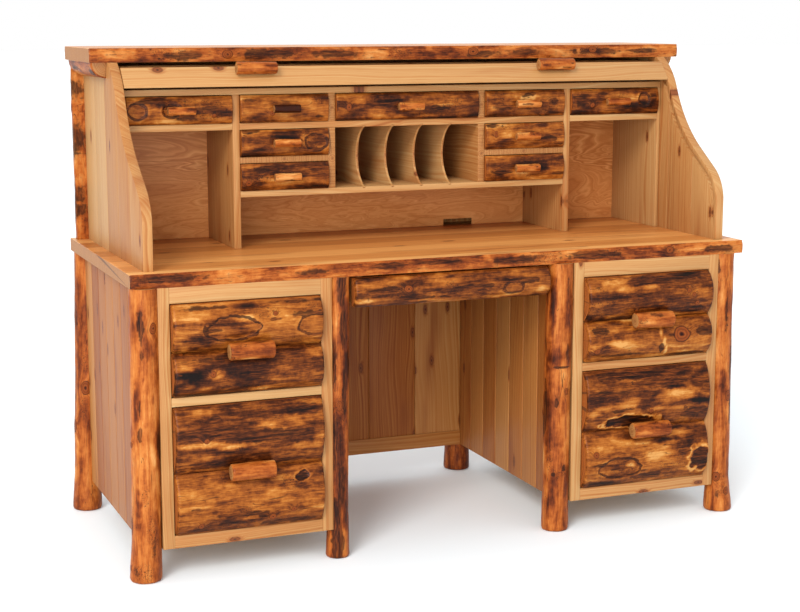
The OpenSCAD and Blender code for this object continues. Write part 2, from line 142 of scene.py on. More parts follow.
class Shader:
    """A material and short names for the nodes that it is made of."""

    def __init__(self, name):
        self.mat = bpy.data.materials.new(name)
        self.mat.use_nodes = True
        self.tree = self.mat.node_tree
        self.tree.nodes.clear()

    def put(self, socket, value):
        if isinstance(value, bpy.types.NodeSocket):
            self.tree.links.new(value, socket)
        else:
            socket.default_value = value

    def add(self, kind, inputs=None, out=0, **props):
        node = self.tree.nodes.new("ShaderNode" + kind)
        for key, value in props.items():
            setattr(node, key, value)
        for key, value in (inputs or {}).items():
            self.put(node.inputs[key], value)
        return node.outputs[out]

    def attr(self, name, out="Fac"):
        return self.add("Attribute", out=out, attribute_name=name)

    def math(self, op, a, b=0.0, clamp=False):
        return self.add("Math", {0: a, 1: b}, operation=op, use_clamp=clamp)

    def mul(self, a, b):
        return self.math("MULTIPLY", a, b)

    def plus(self, a, b):
        return self.math("ADD", a, b)

    def fit(self, value, lo, hi, to_lo=0.0, to_hi=1.0):
        """value from lo..hi to to_lo..to_hi along an S curve, held at both ends."""
        inputs = {0: value, 1: lo, 2: hi, 3: to_lo, 4: to_hi}
        return self.add("MapRange", inputs, interpolation_type="SMOOTHSTEP")

    def swing(self, value, by):
        """A noise's swing about one half, times by."""
        return self.mul(self.plus(value, -0.5), by)

    def crease(self, value, lo, hi):
        """1 along the thin line where a noise passes one half."""
        return self.fit(self.math("ABSOLUTE", self.plus(value, -0.5)), lo, hi, 1.0, 0.0)

    def noise(self, vector, scale, detail=2.0, rough=0.5, distort=0.0):
        return self.add("TexNoise", {"Vector": vector, "Scale": scale, "Detail": detail,
                                     "Roughness": rough, "Distortion": distort})

    def noise1(self, w, scale, detail=1.0):
        return self.add("TexNoise", {"W": w, "Scale": scale, "Detail": detail}, noise_dimensions="1D")

    def ramp(self, fac, stops):
        node = self.tree.nodes.new("ShaderNodeValToRGB")
        ramp = node.color_ramp
        while len(ramp.elements) > 1:
            ramp.elements.remove(ramp.elements[-1])
        ramp.elements[0].position = stops[0][0]
        ramp.elements[0].color = stops[0][1]
        for at, colour in stops[1:]:
            ramp.elements.new(at).color = colour
        self.put(node.inputs[0], fac)
        return node.outputs[0]

    def mix(self, fac, a, b):
        return self.add("MixRGB", {0: fac, 1: a, 2: b})

    def split(self, vector):
        node = self.tree.nodes.new("ShaderNodeSeparateXYZ")
        self.put(node.inputs[0], vector)
        return node.outputs[0], node.outputs[1], node.outputs[2]

    def join(self, x, y, z):
        return self.add("CombineXYZ", {0: x, 1: y, 2: z})

    def finish(self, colour, rough, height=None, depth=0.0006, coat=0.0, strength=0.5, shine=0.24):
        node = self.tree.nodes.new("ShaderNodeBsdfPrincipled")
        self.put(node.inputs["Base Color"], colour)
        self.put(node.inputs["Roughness"], rough)
        node.inputs["Specular IOR Level"].default_value = shine
        node.inputs["Coat Weight"].default_value = coat
        node.inputs["Coat Roughness"].default_value = 0.22
        if height is not None:
            bump = self.add("Bump", {"Height": height, "Distance": depth, "Strength": strength})
            self.put(node.inputs["Normal"], bump)
        end = self.tree.nodes.new("ShaderNodeOutputMaterial")
        self.tree.links.new(node.outputs[0], end.inputs[0])
        return self.mat


# ---- materials
def board_material(name, stops, warm, knot_share, band=150.0, rough=0.46, coat=0.06, board_w=0.0, vary=0.34):
    """Planed boards: rings drawn out along the grain, flowing round scattered knots.
    With board_w the surface is cut into glued staves of that width."""
    s = Shader(name)
    u, v, w = s.split(s.attr("grain", "Vector"))
    seed = s.attr("seed")
    if board_w:
        stave = s.math("FLOOR", s.plus(s.mul(v, 1 / board_w), 0.5))
        seed = s.add("TexWhiteNoise", {"W": s.plus(stave, 7.3)}, noise_dimensions="1D", out=0)
    far = s.mul(seed, 61.0)
    cell = s.join(s.plus(s.mul(u, 6.0), far), s.plus(s.mul(v, 15.0), far), 0.0)
    knots = s.tree.nodes.new("ShaderNodeTexVoronoi")
    knots.voronoi_dimensions = "2D"
    knots.inputs["Scale"].default_value = 1.0
    s.put(knots.inputs["Vector"], cell)
    pick = s.math("GREATER_THAN", s.split(knots.outputs["Color"])[0], 1 - knot_share)
    near = s.mul(s.math("SUBTRACT", 1.0, s.mul(knots.outputs["Distance"], 5.2), clamp=True), pick)
    drift = s.noise(s.join(s.plus(s.mul(u, 1.3), far), s.mul(v, 6.0), s.mul(w, 6.0)), 1.0, 2.0)
    ring = s.plus(s.plus(v, s.mul(w, 0.6)), s.mul(drift, 0.09))
    ring = s.plus(ring, s.mul(s.fit(near, 0.0, 1.0), 0.014))
    ring = s.plus(ring, far)
    bands = s.noise1(ring, band, 2.0)
    lines = s.noise1(ring, band * 4.3, 1.0)
    fibre = s.noise(s.join(s.mul(u, 18.0), s.mul(s.plus(v, far), 700.0), s.mul(w, 700.0)), 1.0, 2.0)
    tone = s.plus(s.mul(bands, 0.62), s.plus(s.mul(lines, 0.26), s.mul(fibre, 0.24)))
    tone = s.plus(tone, s.plus(s.mul(seed, vary), -0.06 - vary / 2))
    colour = s.ramp(tone, stops)
    stain = s.noise(s.join(s.plus(s.mul(u, 2.2), far), s.mul(v, 16.0), w), 1.0, 2.0)
    colour = s.mix(s.mul(s.fit(stain, 0.54, 0.74), 0.6), colour, warm)
    halo = s.fit(near, 0.12, 0.5)
    colour = s.mix(s.mul(halo, 0.55), colour, warm)
    core = s.fit(s.plus(near, s.swing(lines, 0.25)), 0.5, 0.62)
    colour = s.mix(core, colour, s.ramp(near, [(0.5, rgb(62, 28, 12)), (0.64, rgb(104, 52, 22)),
                                               (0.8, rgb(124, 66, 30)), (0.95, rgb(48, 22, 10))]))
    height = s.plus(s.mul(lines, 0.4), s.mul(fibre, 0.3))
    return s.finish(colour, s.plus(rough, s.mul(lines, 0.1)), height, 0.0004, coat, 0.25)


def log_material(name, stops, spread):
    """Peeled, stained and lacquered log. tone lightens or darkens, black stains, knot and ink mark.
    spread says how much the cloud, patch, streak, fine and mottle noises move the colour."""
    s = Shader(name)
    flow = s.attr("flow", "Vector")
    spot = s.attr("spot", "Vector")
    tone, black, knot, ink = (s.attr(k) for k in ("tone", "black", "knot", "ink"))
    a, v, w = s.split(spot)
    cloud = s.noise(s.join(s.mul(a, 0.38), v, w), 19.0, 2.0, 0.5, 1.2)
    patch = s.noise(flow, 30.0, 2.0, 0.5, 0.9)
    streak = s.noise(flow, 130.0, 3.0, 0.6, 0.7)
    fine = s.noise(flow, 520.0, 2.0, 0.6)
    mottle = s.noise(spot, 75.0, 5.0, 0.66)
    t = s.plus(tone, 0.5)
    for value, k in zip((cloud, patch, streak, fine, mottle), spread):
        t = s.plus(t, s.swing(value, k))
    colour = s.ramp(t, stops)
    ragged = s.plus(black, s.plus(s.swing(mottle, 1.3), s.swing(streak, 1.6)))
    dark = s.fit(ragged, 0.36, 0.78)
    colour = s.mix(s.mul(dark, 0.86), colour, s.ramp(s.plus(fine, s.swing(streak, 1.4)), STAIN))
    worm = s.crease(s.noise(spot, 120.0, 1.5, 0.5, 0.4), 0.004, 0.016)
    fleck = s.fit(s.noise(spot, 310.0, 2.0), 0.63, 0.7)
    mark = s.mul(s.math("MAXIMUM", worm, s.mul(fleck, 0.8)), s.fit(ink, 0.25, 0.6))
    seam = s.crease(s.noise(flow, 85.0, 1.0, 0.4, 0.6), 0.003, 0.014)
    mark = s.math("MAXIMUM", mark, s.mul(seam, s.fit(patch, 0.48, 0.62, 0.0, 0.75)))
    colour = s.mix(mark, colour, rgb(30, 14, 8))
    ringed = s.plus(knot, s.swing(fine, 0.12))
    body = s.ramp(ringed, KNOT_STOPS)
    colour = s.mix(s.fit(ringed, 0.08, 0.18), colour, body)
    height = s.plus(s.mul(streak, 0.5), s.plus(s.mul(fine, 0.25), s.mul(mottle, 0.5)))
    height = s.plus(height, s.mul(mark, -0.5))
    gloss = s.plus(0.44, s.plus(s.swing(mottle, 0.35), s.mul(dark, 0.04)))
    return s.finish(colour, gloss, height, 0.0018, 0.04, 0.55, 0.12)


def end_material(name, light, mid, dark):
    """Sawn end of a log: rings and a few drying cracks."""
    s = Shader(name)
    _, v, w = s.split(s.attr("spot", "Vector"))
    seed = s.attr("seed")
    flat = s.join(v, w, s.mul(seed, 9.0))
    warp = s.noise(flat, 40.0, 2.0)
    from_pith = s.join(s.plus(v, 0.0015), s.plus(w, -0.001), 0.0)
    radius = s.add("VectorMath", {0: from_pith}, out="Value", operation="LENGTH")
    rings = s.noise1(s.plus(radius, s.mul(warp, 0.0035)), 520.0, 1.0)
    speck = s.noise(flat, 500.0, 2.0)
    colour = s.ramp(s.plus(rings, s.swing(speck, 0.4)), [(0.3, dark), (0.48, mid), (0.62, light)])
    heart = s.fit(radius, 0.001, 0.004, 1.0, 0.0)
    colour = s.mix(s.mul(heart, 0.8), colour, rgb(110, 62, 30))
    around = s.add("Math", {0: w, 1: v}, operation="ARCTAN2")
    crack = s.noise1(s.plus(around, s.mul(seed, 11.0)), 5.0, 2.0)
    crack = s.fit(s.plus(crack, s.mul(warp, 0.02)), 0.70, 0.74)
    colour = s.mix(s.mul(crack, 0.7), colour, rgb(70, 38, 20))
    return s.finish(colour, 0.55, rings, 0.0004, 0.05, 0.4)


def ply_material(name):
    """Rotary-cut ply: wide wavy figure."""
    s = Shader(name)
    u, v, w = s.split(s.attr("grain", "Vector"))
    drift = s.noise(s.join(s.mul(u, 2.0), s.mul(v, 9.0), w), 1.0, 3.0, 0.6, 0.8)
    ring = s.plus(s.mul(v, 0.7), s.mul(drift, 0.42))
    bands = s.noise1(ring, 62.0, 3.0)
    pores = s.noise(s.join(s.mul(u, 60.0), s.mul(v, 900.0), w), 1.0, 2.0)
    tone = s.plus(s.mul(bands, 1.3), s.plus(s.mul(pores, 0.5), -0.42))
    colour = s.ramp(tone, [(0.15, amber(176, 108, 56)), (0.45, amber(192, 125, 68)),
                           (0.62, amber(202, 138, 79)), (0.85, amber(212, 152, 92))])
    return s.finish(colour, 0.5, pores, 0.0003, 0.05, 0.3)


PALE_STOPS = [(0.10, pale(196, 128, 70)), (0.32, pale(222, 164, 104)), (0.50, pale(236, 188, 132)),
              (0.68, pale(243, 203, 150)), (0.90, pale(248, 216, 168))]
SIDE_STOPS = [(0.10, pale(176, 102, 44)), (0.32, pale(202, 134, 70)), (0.50, pale(220, 158, 94)),
              (0.68, pale(230, 174, 112)), (0.90, pale(238, 190, 130))]
AMBER_STOPS = [(0.08, amber(138, 78, 34)), (0.30, amber(182, 112, 52)), (0.48, amber(206, 136, 70)),
               (0.66, amber(219, 154, 86)), (0.90, amber(232, 176, 108))]
BOX_STOPS = [(0.10, pale(206, 150, 92)), (0.40, pale(226, 178, 122)), (0.65, pale(238, 198, 146)),
             (0.90, pale(244, 210, 162))]
HALF_STOPS = [(0.00, bark(40, 21, 12)), (0.20, bark(82, 44, 22)), (0.36, bark(120, 68, 30)),
              (0.50, bark(158, 96, 42)), (0.66, bark(188, 122, 56)), (0.82, bark(208, 146, 76)),
              (1.00, bark(228, 178, 114))]
LOG_STOPS = [(0.00, bark(84, 42, 20)), (0.20, bark(138, 74, 34)), (0.36, bark(178, 104, 48)),
             (0.50, bark(204, 130, 66)), (0.66, bark(220, 152, 86)), (0.85, bark(234, 178, 116))]
STAIN = [(0.30, bark(44, 24, 13)), (0.48, bark(80, 43, 20)), (0.62, bark(112, 62, 28)),
         (0.78, bark(150, 88, 40))]
KNOT_STOPS = [(0.16, bark(84, 42, 20)), (0.30, bark(172, 100, 46)), (0.48, bark(140, 78, 34)),
              (0.66, bark(176, 104, 50)), (0.82, bark(104, 52, 22)), (0.94, bark(44, 22, 12))]

PALE = board_material("pale_boards", PALE_STOPS, pale(206, 136, 76), 0.16)
SIDE = board_material("side_boards", SIDE_STOPS, pale(184, 112, 54), 0.32, vary=0.36)
AMBER = board_material("worktop_boards", AMBER_STOPS, amber(150, 84, 38), 0.16, 120.0, 0.36, 0.14, 0.094,
                       0.62)
BOX = board_material("drawer_wood", BOX_STOPS, pale(206, 146, 90), 0.04, rough=0.55, coat=0.0)
PLY = ply_material("rotary_ply")
HALF = log_material("half_logs", HALF_STOPS, (1.05, 0.60, 0.62, 0.50, 0.50))
LOG = log_material("peeled_logs", LOG_STOPS, (0.8, 0.7, 0.45, 0.40, 0.35))
EDGE = log_material("live_edge", LOG_STOPS, (1.1, 0.9, 0.6, 0.5, 0.6))
HALF_END = end_material("half_log_ends", bark(204, 134, 72), bark(176, 106, 52), bark(120, 66, 30))
END = end_material("sawn_ends", pale(232, 184, 128), pale(220, 164, 106), pale(190, 128, 74))


# ---- mesh helpers
def settle(name, bm, materials, node, flat_angle=38.0):
    """Turns a bmesh into a shown piece that rides on its node's body."""
    bmesh.ops.recalc_face_normals(bm, faces=bm.faces)
    for face in bm.faces:
        face.smooth = True
    mesh = bpy.data.meshes.new(name)
    bm.to_mesh(mesh)
    bm.free()
    for material in materials:
        mesh.materials.append(material)
    mesh.set_sharp_from_angle(angle=math.radians(flat_angle))
    obj = add_object(name, mesh)
    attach(obj, BODY[node])
    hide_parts(node)
    return mesh


def write(mesh, name, values):
    """Stores one number or one vector for each vertex, for the materials to read."""
    kind, field = ("FLOAT_VECTOR", "vector") if values.ndim == 2 else ("FLOAT", "value")
    layer = mesh.attributes.new(name, kind, "POINT")
    layer.data.foreach_set(field, values.astype(np.float32).ravel())


def islands(bm):
    """The number of the connected board that each vertex belongs to."""
    bm.verts.index_update()
    edges = np.array([[v.index for v in e.verts] for e in bm.edges])
    root = np.arange(len(bm.verts))
    while True:
        low = np.minimum(root[edges[:, 0]], root[edges[:, 1]])
        new = root.copy()
        np.minimum.at(new, edges[:, 0], low)
        np.minimum.at(new, edges[:, 1], low)
        new = new[new]
        if (new == root).all():
            return np.unique(root, return_inverse=True)[1]
        root = new


def dress(node, material, edge=0.0009, name=None, behind=None):
    """A bevelled copy of a CAD node, with each of its boards given a grain of its own.
    With behind, only the boards behind that Y are copied."""
    bm = bmesh.new()
    bm.from_mesh(frame["nodes"][node].data)
    bmesh.ops.remove_doubles(bm, verts=bm.verts, dist=1e-6)
    bmesh.ops.dissolve_limit(bm, angle_limit=math.radians(0.4), verts=bm.verts, edges=bm.edges)
    if behind is not None:
        board = islands(bm)
        y = np.array([v.co.y for v in bm.verts])
        drop = [v for v in bm.verts if y[board == board[v.index]].min() <= behind]
        bmesh.ops.delete(bm, geom=drop, context="VERTS")
    sharp = [e for e in bm.edges if len(e.link_faces) == 2 and e.calc_face_angle(0) > math.radians(28)]
    bmesh.ops.bevel(bm, geom=sharp, offset=edge, segments=2, profile=0.5, affect="EDGES", clamp_overlap=True)
    board = islands(bm)
    mesh = settle(name or node + "_wood", bm, [material, END], node)
    co = np.array([v.co for v in mesh.vertices])
    grain = np.zeros_like(co)
    seed = np.zeros(len(co))
    long_axis = []
    salt = sum(ord(c) * (i + 3) for i, c in enumerate(node))
    for k in range(board.max() + 1):
        mine = board == k
        lo, hi = co[mine].min(0), co[mine].max(0)
        order = np.argsort(-(hi - lo))
        long_axis.append(order[0])
        grain[mine] = (co[mine] - (lo + hi) / 2)[:, order]
        seed[mine] = np.random.default_rng(salt * 97 + k).random()
    write(mesh, "grain", grain)
    write(mesh, "spot", grain)
    write(mesh, "seed", seed)
    for face in mesh.polygons:
        if abs(face.normal[long_axis[board[face.vertices[0]]]]) > 0.9:
            face.material_index = 1


def loft(rings, flat_sides=(), ends=1):
    """A closed bar through rings of points, (stations, points, 3). Faces of flat_sides use material 1,
    and both ends use the material numbered ends."""
    count, around = rings.shape[:2]
    bm = bmesh.new()
    verts = [[bm.verts.new(p) for p in ring] for ring in rings]
    for i in range(count - 1):
        for j in range(around):
            k = (j + 1) % around
            face = bm.faces.new((verts[i][j], verts[i][k], verts[i + 1][k], verts[i + 1][j]))
            if j in flat_sides:
                face.material_index = 1
    for ring in (verts[0], verts[-1]):
        bm.faces.new(ring).material_index = ends
    return bm


RIM = 0.0026  # width of the dark line round a scar
STRETCH = 0.085  # how much slower the figure changes along a log than across it
RELIEF = 0.0008  # room left for knots between a log and its CAD cylinder


def marked(a, c, radius, marks, seed):
    """Fields on an unrolled log, a along it and c around it, in metres: how far its rings are turned,
    how far its surface rises, and the shader's tone, black, knot and ink. A radius of 0 doesn't wrap.
    Marks: (kind, place along, place round, reach along, reach round, strength)."""
    turn, rise, tone, black, knot, ink = (np.zeros(a.shape) for _ in range(6))
    w1 = noise(a * 70, c * 70, 3.1, seed) + 0.5 * noise(a * 170, c * 170, 1.7, seed + 1)
    w2 = noise(a * 70, c * 70, 8.4, seed + 2) + 0.5 * noise(a * 170, c * 170, 5.2, seed + 3)
    for kind, ma, mc, ra, rc, k in marks:
        dc = c - mc
        if radius:
            full = 2 * math.pi * radius
            dc = (dc + full / 2) % full - full / 2
        rough = 0.10 if kind in ("knot", "window") else 0.26
        da = (a - ma) / ra + rough * w1
        dc = dc / rc + rough * w2
        d = np.sqrt(da * da + dc * dc)
        inside = smooth(1.25 - d)
        if kind == "knot":
            turn += k * np.exp(-d * d * 0.55)
            rise += 0.0022 * np.exp(-d * d * 0.8) - 0.0012 * np.exp(-d * d * 9)
            knot = np.maximum(knot, np.clip(1 - d / 1.05, 0, 1))
        elif kind == "dark":
            black += k * inside
        elif kind == "tone":
            tone += k * inside
        elif kind == "ink":
            ink = np.maximum(ink, k * inside)
        elif kind == "window":
            gap = (d - 1) * d / np.maximum(np.hypot(da / ra, dc / rc), 1e-6) / RIM
            black += 2.2 * np.exp(-gap ** 2)
            tone += -0.04 * smooth((1 - d) * 4) + 0.35 * k * np.exp(-(gap - 2.4) ** 2)
            rise += -0.0022 * smooth((1.05 - d) * 5) + 0.0009 * np.exp(-((d - 1.25) / 0.15) ** 2)
            turn += 0.006 * np.exp(-d * d * 0.5)
        elif kind == "void":
            black += 2.4 * smooth((1 - d) * 5)
            tone += k * np.exp(-((d - 1.16) / 0.13) ** 2) - 0.5 * smooth((1 - d) * 5)
            rise += -0.0030 * smooth((1.02 - d) * 5) + 0.0010 * np.exp(-((d - 1.2) / 0.14) ** 2)
    return turn, rise, {"tone": tone, "black": black, "knot": knot, "ink": ink}


def scattered(rng, length, reach, knots, darks, tones, inks):
    """Marks strewn at random over a log of that length, up to reach round it on both sides."""
    out = []
    for kind, count, size, ratio, k in (
        ("knot", knots, (0.005, 0.009), 1.1, 0.014),
        ("dark", darks, (0.004, 0.012), 4.0, 0.9),
        ("tone", tones, (0.006, 0.014), 4.5, 0.3),
        ("ink", inks, (0.010, 0.022), 1.8, 1.0),
    ):
        for _ in range(count):
            r = rng.uniform(*size)
            strength = rng.choice([-1.0, 1.0]) * k if kind == "tone" else k * rng.uniform(0.7, 1.1)
            out.append((kind, rng.uniform(0, length), rng.uniform(-reach, reach), r * ratio, r, strength))
    return out


def put_fields(mesh, flow, spot, fields, seed):
    """Writes a log's attributes. flow follows its rings and grain, spot is the plain place on it."""
    write(mesh, "flow", np.stack(flow, -1).reshape(-1, 3))
    write(mesh, "spot", np.stack(spot, -1).reshape(-1, 3))
    for key, value in fields.items():
        write(mesh, key, value.ravel())
    write(mesh, "seed", np.full(spot[0].size, (seed * 0.377) % 1.0))


def ring_flow(along, v, w, turned, seed):
    """A log's flow. turned is the angle round the pith after knots have bent the rings."""
    radius = np.hypot(v, w)
    return along * STRETCH + seed, radius * np.cos(turned) + seed, radius * np.sin(turned)


def log(name, node, start, axis, facing, length, d, marks, seed, tone, swell, ease, step, around,
        rough=1.0, eased_top=True, lean=0.0):
    """A whole log from start along axis. Angle 0 faces facing; swell(a, angle) adds to its radius."""
    radius = d / 2 - RELIEF
    axis, facing = Vector(axis).normalized(), Vector(facing).normalized()
    side = axis.cross(facing)
    inner = np.linspace(ease, length - (ease if eased_top else 0), max(4, int(length / step)))
    stations = np.concatenate([[0, ease * 0.3], inner])
    cut = np.concatenate([[ease, ease * 0.29], np.zeros(len(inner))])
    if eased_top:
        stations = np.append(stations, [length - ease * 0.3, length])
        cut = np.append(cut, [ease * 0.29, ease])
    angle = np.linspace(-math.pi, math.pi, around, endpoint=False)
    a, th = np.meshgrid(stations, angle, indexing="ij")
    turn, rise, fields = marked(a, th * radius, radius, marks, seed)
    fields["tone"] = fields["tone"] + tone
    cx, cy = np.cos(th), np.sin(th)
    r = radius - cut[:, None] + rough * rise
    r = r + rough * (0.0011 * noise(a * 14, cx * 1.4, cy * 1.4, seed + 5)
                     + 0.0006 * noise(a * 40, cx * 3.2, cy * 3.2, seed + 6))
    r = r + swell(a, th)
    bend_v = rough * 0.0018 * noise(stations * 5, 0.3, 0.7, seed + 8)[:, None]
    bend_w = rough * 0.0018 * noise(stations * 5, 4.3, 2.7, seed + 9)[:, None]
    v, w = r * cx, r * cy
    points = (np.array(start) + a[..., None] * np.array(axis) + (v + bend_v)[..., None] * np.array(facing)
              + (w + bend_w)[..., None] * np.array(side))
    points[..., 0] += lean * (1 - a / length)
    mesh = settle(name, loft(points), [LOG, END], node, 50.0)
    put_fields(mesh, ring_flow(a, v, w, th + turn / radius, seed), (a, v, w), fields, seed)


def half_log(name, node, x, back_y, z, thick, bulge, marks, seed, tone, step=0.0028, ease=0.007):
    """Half a log along X with its round side towards -Y, thick at its edges and thick + bulge between.
    Its marks go from 0 to 1 along and from -1 to 1 up."""
    width, h = x[1] - x[0], z[1] - z[0]
    r0 = (h * h / 4 + bulge * bulge) / (2 * bulge)
    half = math.asin(h / 2 / r0)
    pith_y, pith_z = back_y - thick - bulge + r0, (z[0] + z[1]) / 2
    bend = np.linspace(0, math.pi / 2, 5)[:-1]
    near, drop = ease * (1 - np.cos(bend)), ease * (1 - np.sin(bend))
    inner = np.linspace(ease, width - ease, int(width / step))
    stations = np.concatenate([near, inner, width - near[::-1]])
    cut = np.concatenate([drop, np.zeros(len(inner)), drop[::-1]])[:, None]
    phi = np.linspace(-half, half, max(14, int(2 * half * r0 / step)))
    a, ph = np.meshgrid(stations, phi, indexing="ij")
    arc = half * r0
    real = [(kind, ma * width, mc * arc, ra * width, rc * arc, k) for kind, ma, mc, ra, rc, k in marks]
    rng = np.random.default_rng(seed)
    real += scattered(rng, width, arc * 0.95, 1, int(14 * width), int(16 * width), 2)
    turn, rise, fields = marked(a, ph * r0, 0, real, seed)
    up = ph / half
    rim = smooth((1 - np.abs(up)) * 6)
    relief = rise + 0.0016 * noise(a * 9, ph * 3.0, 0.2, seed + 4)
    relief = relief + 0.0007 * noise(a * 26, ph * 9, 0.9, seed + 5)
    d = relief * rim - 0.0008 * (1 - rim) * (1 + noise(a * 22, 0.4, up, seed + 6)) - cut
    zz = np.clip(pith_z + (r0 + d) * np.sin(ph), z[0] + 0.0001, z[1] - 0.0001)
    shell = np.stack([x[0] + a, pith_y - (r0 + d) * np.cos(ph), zz], -1)
    flat = np.ones(len(stations))
    back = np.stack([np.stack([x[0] + stations, flat * back_y, flat * q], -1)
                     for q in (z[1] - 0.0006, z[0] + 0.0006)], 1)
    rings = np.concatenate([shell, back], 1)
    n = len(phi)
    mesh = settle(name, loft(rings, (n - 1, n, n + 1)), [HALF, HALF_END], node, 50.0)

    def wide(f):
        """A field of the round side, with its edges' values on the two rows of the back."""
        return np.concatenate([f, f[:, -1:], f[:, :1]], 1)

    v, w = pith_y - rings[..., 1], rings[..., 2] - pith_z
    along = np.repeat(stations[:, None], n + 2, 1)
    fields = {key: wide(value) for key, value in fields.items()}
    fields["tone"] = fields["tone"] + tone
    flow = ring_flow(along, v, w, np.arctan2(w, v) + wide(turn) / r0, seed)
    put_fields(mesh, flow, (along, v, w), fields, seed)


EDGE_ROWS = 12  # rows of points up a natural edge
EDGE_STAIN = 0.26  # how dark it is all over


def live_board(name, node, origin, axes, size, marks, seed, material, live_rear=False, tone=0.0,
               wave=0.003, top_back=0.004):
    """A slab along three axes, with a natural edge in front, and at the rear too with live_rear."""
    length, width, thick = size
    ease = 0.002
    inner = np.linspace(ease, length - ease, int(length / 0.004))
    stations = np.concatenate([[0], inner, [length]])
    cut = np.concatenate([[ease], np.zeros(len(inner)), [ease]])
    up = np.linspace(0, 1, EDGE_ROWS)
    a, q = np.meshgrid(stations, up, indexing="ij")

    def edge(which, marks):
        """How far a natural edge stands back, and its fields."""
        turn, rise, fields = marked(a, (q - 0.5) * thick, 0, marks, seed + which)
        sway = 0.5 + 0.5 * noise(a * 4.2, 0.3, which, seed + 11 + which)
        sway = sway + 0.35 * (0.5 + 0.5 * noise(a * 15, q * 0.9, which, seed + 12 + which))
        b = wave * sway + top_back * smooth((q - 0.55) / 0.45) ** 1.5
        b = b + 0.35 * top_back * smooth((0.35 - q) / 0.35)
        b = b + 0.0006 * noise(a * 60, q * 3, 0.5, seed + 13 + which) + 0.0008 - rise + cut[:, None] * 0.5
        return b, turn, fields

    front, turn, fields = edge(0, marks)
    across = [f for f in (0.012, 0.03, 0.07) if f < width * 0.3] + [width / 2]
    columns = [(front[:, j], up[j] * thick) for j in range(EDGE_ROWS)]
    columns += [(f, thick) for f in across]
    if live_rear:
        rear = edge(3, [])[0]
        columns += [(width - rear[:, j], up[j] * thick) for j in reversed(range(EDGE_ROWS))]
    else:
        columns += [(width - 0.0015, thick), (width, thick - 0.0015), (width, 0)]
    b, c = (np.stack([np.broadcast_to(p[i], stations.shape) for p in columns], 1) for i in (0, 1))
    aa = np.repeat(stations[:, None], b.shape[1], 1)
    c = c - np.sign(c - thick / 2) * 0.5 * cut[:, None]
    along, inward, upward = (np.array(axis, float) for axis in axes)
    points = np.array(origin) + aa[..., None] * along + b[..., None] * inward + c[..., None] * upward
    planed = range(EDGE_ROWS - 1, b.shape[1])
    if live_rear:
        planed = [*range(EDGE_ROWS - 1, EDGE_ROWS + len(across)), b.shape[1] - 1]
    mesh = settle(name, loft(points, planed, 2), [EDGE, material, END], node, 50.0)

    def wide(f, rest=0.0):
        """A field of the front edge, and rest on the planed faces and the rear."""
        return np.concatenate([f, np.zeros((len(stations), b.shape[1] - EDGE_ROWS))], 1) + rest

    offset = {"tone": tone, "black": EDGE_STAIN}
    fields = {key: wide(value, offset.get(key, 0.0)) for key, value in fields.items()}
    flow = (aa * STRETCH + seed, c + wide(turn) + seed, b * 0.3)
    put_fields(mesh, flow, (aa, b, c), fields, seed)
    write(mesh, "grain", np.stack([aa, b, c], -1).reshape(-1, 3))


def pull(name, node, centre, facing, size, seed, tone, peg_d, reach):
    """A short log along X, with the dowel of diameter peg_d that holds it, reach behind its middle."""
    length, d = size
    centre, back = Vector(centre), -Vector(facing)
    rng = np.random.default_rng(seed)
    marks = scattered(rng, length, math.pi * d / 2, 1, 4, 5, 5)
    marks = [(k, a, c, ra * 0.6, rc * 0.7, s * (0.8 if k == "dark" else 1)) for k, a, c, ra, rc, s in marks]
    taper = rng.uniform(-0.03, 0.03)

    def swell(a, th):
        return -0.0006 + d * taper * (a / length - 0.5) * 0.5

    start = centre - Vector((1, 0, 0)) * length / 2
    log(name, node, start, (1, 0, 0), facing, length, d, marks, seed, tone, swell,
        ease=d * 0.07, step=0.0032, around=44, rough=0.8)
    bm = bmesh.new()
    turn = Vector((0, 0, 1)).rotation_difference(back).to_matrix().to_4x4()
    place = Matrix.Translation(centre + back * (reach / 2 + d * 0.2)) @ turn
    bmesh.ops.create_cone(bm, cap_ends=True, segments=24, radius1=peg_d / 2, radius2=peg_d / 2,
                          depth=reach - d * 0.4, matrix=place)
    peg = settle(name + "_dowel", bm, [BOX], node)
    co = np.array([v.co for v in peg.vertices])
    write(peg, "grain", (co - co.mean(0))[:, [1, 0, 2]])
    write(peg, "seed", np.full(len(co), 0.3))


def middle(node):
    lo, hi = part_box(node)
    return (lo + hi) / 2


def spans(lo, hi):
    return [b - a for a, b in zip(lo, hi)]


# ---- planed boards
for node in ("face_frame_left", "face_frame_right", "hutch_side_left", "hutch_side_right", "hutch_back",
             "organizer_case", "letter_dividers", "lift_rail"):
    dress(node, PALE)
for node in ("side_panel_left", "side_panel_right", "knee_panel_left", "knee_panel_right", "pedestal_backs",
             "knee_back_panel"):
    dress(node, SIDE)
for i in range(1, 12):
    dress(f"tambour_slats_{i}", PALE, 0.0007)
dress("organizer_back", PLY)
BIG = ("upper_left", "lower_left", "upper_right", "lower_right")
for name in BIG:
    dress(f"drawer_box_{name}", BOX)
dress("pencil_drawer_box", BOX)
dress("drawer_runners", BOX)

